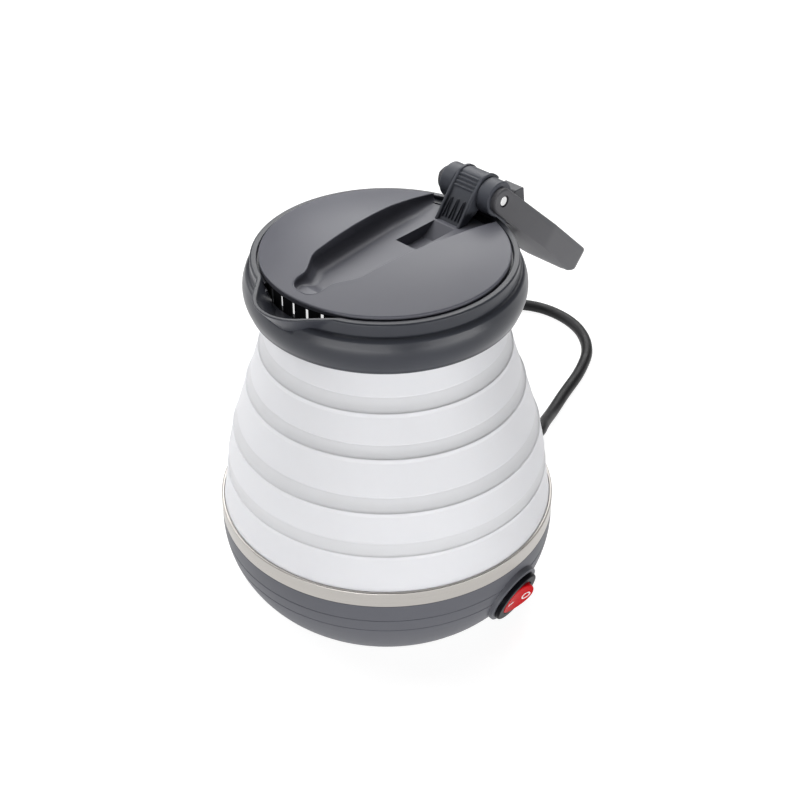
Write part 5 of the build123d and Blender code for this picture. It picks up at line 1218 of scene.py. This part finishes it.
@dataclass
class Switch:
    """Round rocker switch in its black bezel."""

    shop: Workshop
    rocker_r: float = 8.1
    rocker_z: float = 1.1
    half_h: float = 3.0
    dish: float = 0.9
    edge: float = 0.55
    throw: float = 18.0
    bezel: tuple[Point, ...] = (
        (8.45, 2.6, 0.35), (11.9, 2.6, 0.8), (11.9, 0.6, 0.1), (10.0, 0.6, 0), (10.0, -13.4, 0.3),
        (0.0, -13.4, 0), (0.0, -2.5, 0), (8.45, -2.5, 0.2))
    ring_at: float = 4.3
    ring: tuple[Pair, ...] = ((2.2, -0.15), (2.2, 0.1), (1.55, 0.1), (1.55, -0.15))
    line_x: Pair = (-6.0, -2.7)
    line: tuple[Pair, ...] = ((-0.36, -0.15), (-0.36, 0.12), (0.36, 0.12), (0.36, -0.15))

    @staticmethod
    def place() -> Matrix:
        """The switch's own axes: out of the base, up its wall and along it, at the foot of the boss."""
        turn, tilt, height = radians(4.0), radians(18.0), 17.7
        out = Vector((cos(tilt) * cos(turn), cos(tilt) * sin(turn), -sin(tilt)))
        along = Vector((-sin(turn), cos(turn), 0))
        at = Vector((bowl_r(height) * cos(turn), bowl_r(height) * sin(turn), height))
        return Matrix.Translation(at) @ Matrix((along, out.cross(along), out)).transposed().to_4x4()

    def face(self, x: Array) -> Array:
        """Height of the rocker's dished face above its middle, a hollow along its pivot."""
        return self.half_h - self.dish + self.dish * (x / self.rocker_r) ** 2

    def rocker(self) -> Grid:
        """The rocker as rings: dished face, soft edge, side and flat back."""
        bend, flat = angles(0, 90, 6)[1:], self.rocker_r - self.edge
        radii = np.concatenate([np.linspace(0, flat, 20), flat + self.edge * np.sin(bend),
                                [self.rocker_r, 0]])
        drop = np.concatenate([np.zeros(20), self.edge * (1 - np.cos(bend)), [0, 0]])
        turn = full_turn(96)
        x, y = radii[:, None] * np.cos(turn), radii[:, None] * np.sin(turn)
        z = self.face(x) - drop[:, None]
        z[-2:] = -self.half_h
        return Grid(np.stack([x, y, z], -1))

    def marks(self) -> list[Grid]:
        """A short line and a ring let into the rocker's face."""
        turn, x = full_turn(48), np.linspace(*self.line_x, 9)
        rings = [(self.ring_at + r * np.cos(turn), r * np.sin(turn), h) for r, h in self.ring]
        lines = [(x, np.full_like(x, side), h) for side, h in self.line]
        circle, line = ([np.stack([x, y, self.face(x) + h], -1) for x, y, h in part]
                        for part in (rings, lines))
        return [Grid(np.stack(circle), wrap_rows=True), bar(np.stack(line, 1))]

    def build(self) -> None:
        """Makes the bezel, the rocker and its marks."""
        place, make = self.place(), self.shop.make
        tipped = (place @ Matrix.Translation((0, 0, self.rocker_z))
                  @ Matrix.Rotation(-radians(self.throw / 2), 4, "Y"))
        bezel = moved(turned(rounded(self.bezel), 128), place)
        make("switch_bezel", [bezel], BEZEL_BLACK, Body.BASE, Slot.BLACK, "switch_body")
        make("switch_button", [moved(self.rocker(), tipped)], ROCKER_RED, Body.ROCKER, Slot.RED,
             "switch_rocker")
        make("switch_marks", [moved(mark, tipped) for mark in self.marks()], MARK_WHITE, Body.ROCKER,
             Slot.WHITE)


@dataclass
class Lead:
    """Mains lead: strain relief, free stretch, stored coil, tail and plug."""

    shop: Workshop
    cord_r: float = 2.9
    exit_at: Point = (0.0, 90.557, 12.0)
    route: tuple[Point, ...] = (
        (0.0, 103.0, 12.0), (-7.2, 115.5, 8.2), (-13.6, 129.5, 3.4), (-19.9, 146.8, 2.95),
        (-26.1, 167.8, 2.95), (-36.5, 188.4, 2.95), (-56.9, 202.0, 2.95), (-83.1, 201.6, 2.95),
        (-101.6, 184.8, 2.95), (-104.0, 160.0, 2.95), (-93.16, 141.7, 2.95), (-84.53, 133.07, 2.95),
    )
    coil_at: Pair = (-107.3, 102.1)
    step: float = 22.5
    pitch: float = 6.8
    layer: float = 6.3
    long: float = 0.9
    tail: tuple[Point, ...] = ((-74.91, 121.05, 9.25), (-62.18, 108.32, 9.25))
    flange: tuple[Pair, ...] = ((0.0, 52.3), (6.6, 52.3), (6.6, 53.8), (4.6, 53.8), (4.6, 65.6))
    rib: tuple[Pair, ...] = ((0.0, 0.65), (0.25, 0.0), (1.6, 0.0), (1.85, 0.65))

    def turns(self, shift: Pair, first: float, start: float, sweep: float, grow: float) -> Array:
        """Points of a spiral, clockwise.

        Args:
            shift: The spiral's centre, from the coil's.
            first: Its radius at the start, in millimetres.
            start: Its first angle, in degrees.
            sweep: How far it turns, in degrees.
            grow: By how much the radius grows in each turn.

        Returns:
            Control points, which lie a little outside the line that they draw.
        """
        turn = np.arange(self.step, sweep + self.step / 2, self.step)
        radius = (first + grow * turn / 360) / (0.75 + 0.25 * cos(radians(self.step)))
        angle = np.radians(start - turn)
        centre = np.array(self.coil_at) + shift
        return centre + np.stack([radius * np.cos(angle), radius * np.sin(angle)], 1)

    def points(self) -> Array:
        """Control points of the whole lead, from the strain relief to the plug's nose."""
        low = self.cord_r + 0.05
        inward = self.turns((0, -1.2), 38.85, 45.0, 450.0 - self.step, -self.pitch)
        climb = self.turns((1.91, -1.91), 28.5, -45.0 + self.step, 180.0, 0.0)
        outer = self.turns((1.41, -2.62), 28.66, 133.3 + self.step, 450.0, self.pitch)
        rise = smoothstep(np.arange(len(climb)), 0.5, 7.5)
        coil = [np.insert(part, 2, low + self.layer * share, axis=1)
                for part, share in ((inward, 0.0), (climb, rise), (outer, 1.0))]
        return np.concatenate([[self.exit_at], self.route, *coil, self.tail])

    def relief(self) -> Array:
        """Closed (radius, Y) profile of the bend relief: flange, neck and a tapered, ribbed boot."""
        root, end, rib_pitch = self.flange[3][1], self.exit_at[1], 2.6
        ribs = [(5.38 - 1.7 * (start + shift - root) / 36.76 - sink, start + shift)
                for start in np.arange(66.2, 88.5, rib_pitch) for shift, sink in self.rib]
        return np.array([*self.flange, *ribs, (3.66, 89.6), (3.66, end), (0.0, end)])

    def build(self) -> None:
        """Makes the lead as one smooth line and its boot, and dresses the plug."""
        points = self.points() * MM
        curve = bpy.data.curves.new("mains_lead", "CURVE")
        curve.dimensions = "3D"
        spline = curve.splines.new("NURBS")
        spline.points.add(len(points) - 1)
        spline.points.foreach_set("co", np.column_stack([points, np.ones(len(points))]).ravel())
        spline.order_u, spline.use_endpoint_u, spline.resolution_u = 3, True, 8
        curve.bevel_depth, curve.bevel_resolution, curve.use_fill_caps = self.cord_r * MM, 6, True
        lead = shown(bpy.data.objects.new("mains_lead", curve))
        self.shop.finish(lead, CORD_BLACK, Body.BASE, Slot.CORD, "cord_lead", "cord_coil", "cord_tail")
        place = Matrix.Translation((0, 0, self.exit_at[2])) @ Matrix.Rotation(-pi / 2, 4, "X")
        self.shop.make("lead_boot", [moved(turned(self.relief(), 72), place)], CORD_BLACK, Body.BASE,
                       Slot.RUBBER, "strain_relief")
        self.shop.carry(BEZEL_BLACK, "plug_body")
        self.shop.carry(PLAIN_STEEL, "plug_pins", "plug_earth_clips")


@dataclass
class Studio:
    """Camera at the photograph's angle, pale floor and soft light. Lamps are in metres and watts."""

    azimuth: float = 44.5
    elevation: float = 35.57
    distance: float = 661.5
    aim_z: float = 84.8
    lens: float = 72.64
    shift_x: float = 0.0173
    roll: float = -0.45
    floor_half: float = 3.0
    floor_glow: float = 0.92
    world_light: float = 0.06

    def camera(self) -> None:
        """Sets the camera on a sphere about the aim point, looking in."""
        data = bpy.data.cameras.new("camera")
        data.lens, data.sensor_width, data.sensor_fit = self.lens, 36.0, "HORIZONTAL"
        data.shift_x, data.clip_start = self.shift_x, 0.05
        item = shown(bpy.data.objects.new("camera", data))
        turn, rise = radians(self.azimuth), radians(self.elevation)
        away = Vector((sin(turn) * cos(rise), -cos(turn) * cos(rise), sin(rise)))
        item.location = (Vector((0, 0, self.aim_z)) + away * self.distance) * MM
        look = away.to_track_quat("Z", "Y").to_matrix().to_4x4()
        item.rotation_euler = (look @ Matrix.Rotation(radians(self.roll), 4, "Z")).to_euler()
        bpy.context.scene.camera = item

    def floor(self) -> None:
        """A floor that keeps a faint shadow and is plain white to the camera and in reflections."""
        mesh = bpy.data.meshes.new("floor")
        half = self.floor_half
        corners = [(-half, -half, 0), (half, -half, 0), (half, half, 0), (-half, half, 0)]
        mesh.from_pydata(corners, [], [(0, 1, 2, 3)])
        floor = shown(bpy.data.objects.new("floor", mesh))
        material = bpy.data.materials.new("floor_white")
        sheet = Sheet(material)
        ways = sheet.add("LightPath").outputs
        seen = sheet.add("Math", operation="MAXIMUM")
        sheet.join(ways["Is Camera Ray"], seen.inputs[0])
        sheet.join(ways["Is Glossy Ray"], seen.inputs[1])
        matte, keep = (sheet.add("BsdfDiffuse", Color=(grey, grey, grey, 1)) for grey in (0.72, 0.3))
        both = self.pair(sheet, "AddShader", keep, sheet.add("Emission", Strength=self.floor_glow))
        mix = self.pair(sheet, "MixShader", seen, matte, both)
        sheet.join(mix.outputs[0], sheet.out)
        mesh.materials.append(material)

    def world(self) -> None:
        """A white surround to the camera, and a soft grey light to everything else."""
        world = bpy.data.worlds.new("surround")
        sheet = Sheet(world)
        ways = sheet.add("LightPath").outputs["Is Camera Ray"]
        soft, seen = (sheet.add("Background", Color=(1, 1, 1, 1), Strength=light)
                      for light in (self.world_light, 1.0))
        mix = self.pair(sheet, "MixShader", None, soft, seen)
        sheet.join(ways, mix.inputs[0])
        sheet.join(mix.outputs[0], sheet.out)
        bpy.context.scene.world = world

    @staticmethod
    def pair(sheet: Sheet, kind: str, *sources: Node | None) -> Node:
        """Adds a node that joins the first outputs of others, in the order of its inputs."""
        node = sheet.add(kind)
        for source, target in zip(sources, node.inputs):
            if source:
                sheet.join(source.outputs[0], target)
        return node

    def lamp(self, name: str, at: Point, size: Pair, power: float, aim_z: float = 0.09) -> None:
        """A soft rectangular lamp that looks at a point above the origin."""
        data = bpy.data.lights.new(name, "AREA")
        data.shape, data.energy = "RECTANGLE", power
        data.size, data.size_y = size
        item = shown(bpy.data.objects.new(name, data))
        item.location = at
        away = Vector(at) - Vector((0, 0, aim_z))
        item.rotation_euler = away.to_track_quat("Z", "Y").to_euler()

    def build(self) -> None:
        """Sets up the view and the light."""
        bpy.context.scene.view_settings.view_transform = "Standard"
        self.camera()
        self.floor()
        self.world()
        self.lamp("top_soft", (-0.45, 0.35, 1.2), (1.0, 1.0), 11.0)
        self.lamp("key_left", (-1.15, -0.35, 0.8), (0.9, 0.9), 8.5)
        self.lamp("low_front", (0.45, -1.1, 0.09), (1.3, 0.17), 8.5)
        self.lamp("low_right", (1.15, 0.1, 0.08), (1.0, 0.15), 6.0, 0.08)
        self.lamp("back_soft", (-0.75, 1.1, 0.9), (1.2, 0.7), 10.0)


def main() -> None:
    """Builds the kettle in order."""
    logging.basicConfig(level=logging.INFO, format="%(name)s %(message)s")
    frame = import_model()
    Studio().build()
    shop = Workshop(frame)
    for part in (Lead, Base, Wall, Collar, Lid, Handle, Switch):
        part(shop).build()
    bpy.context.view_layer.update()


if __name__ == "__main__":
    main()
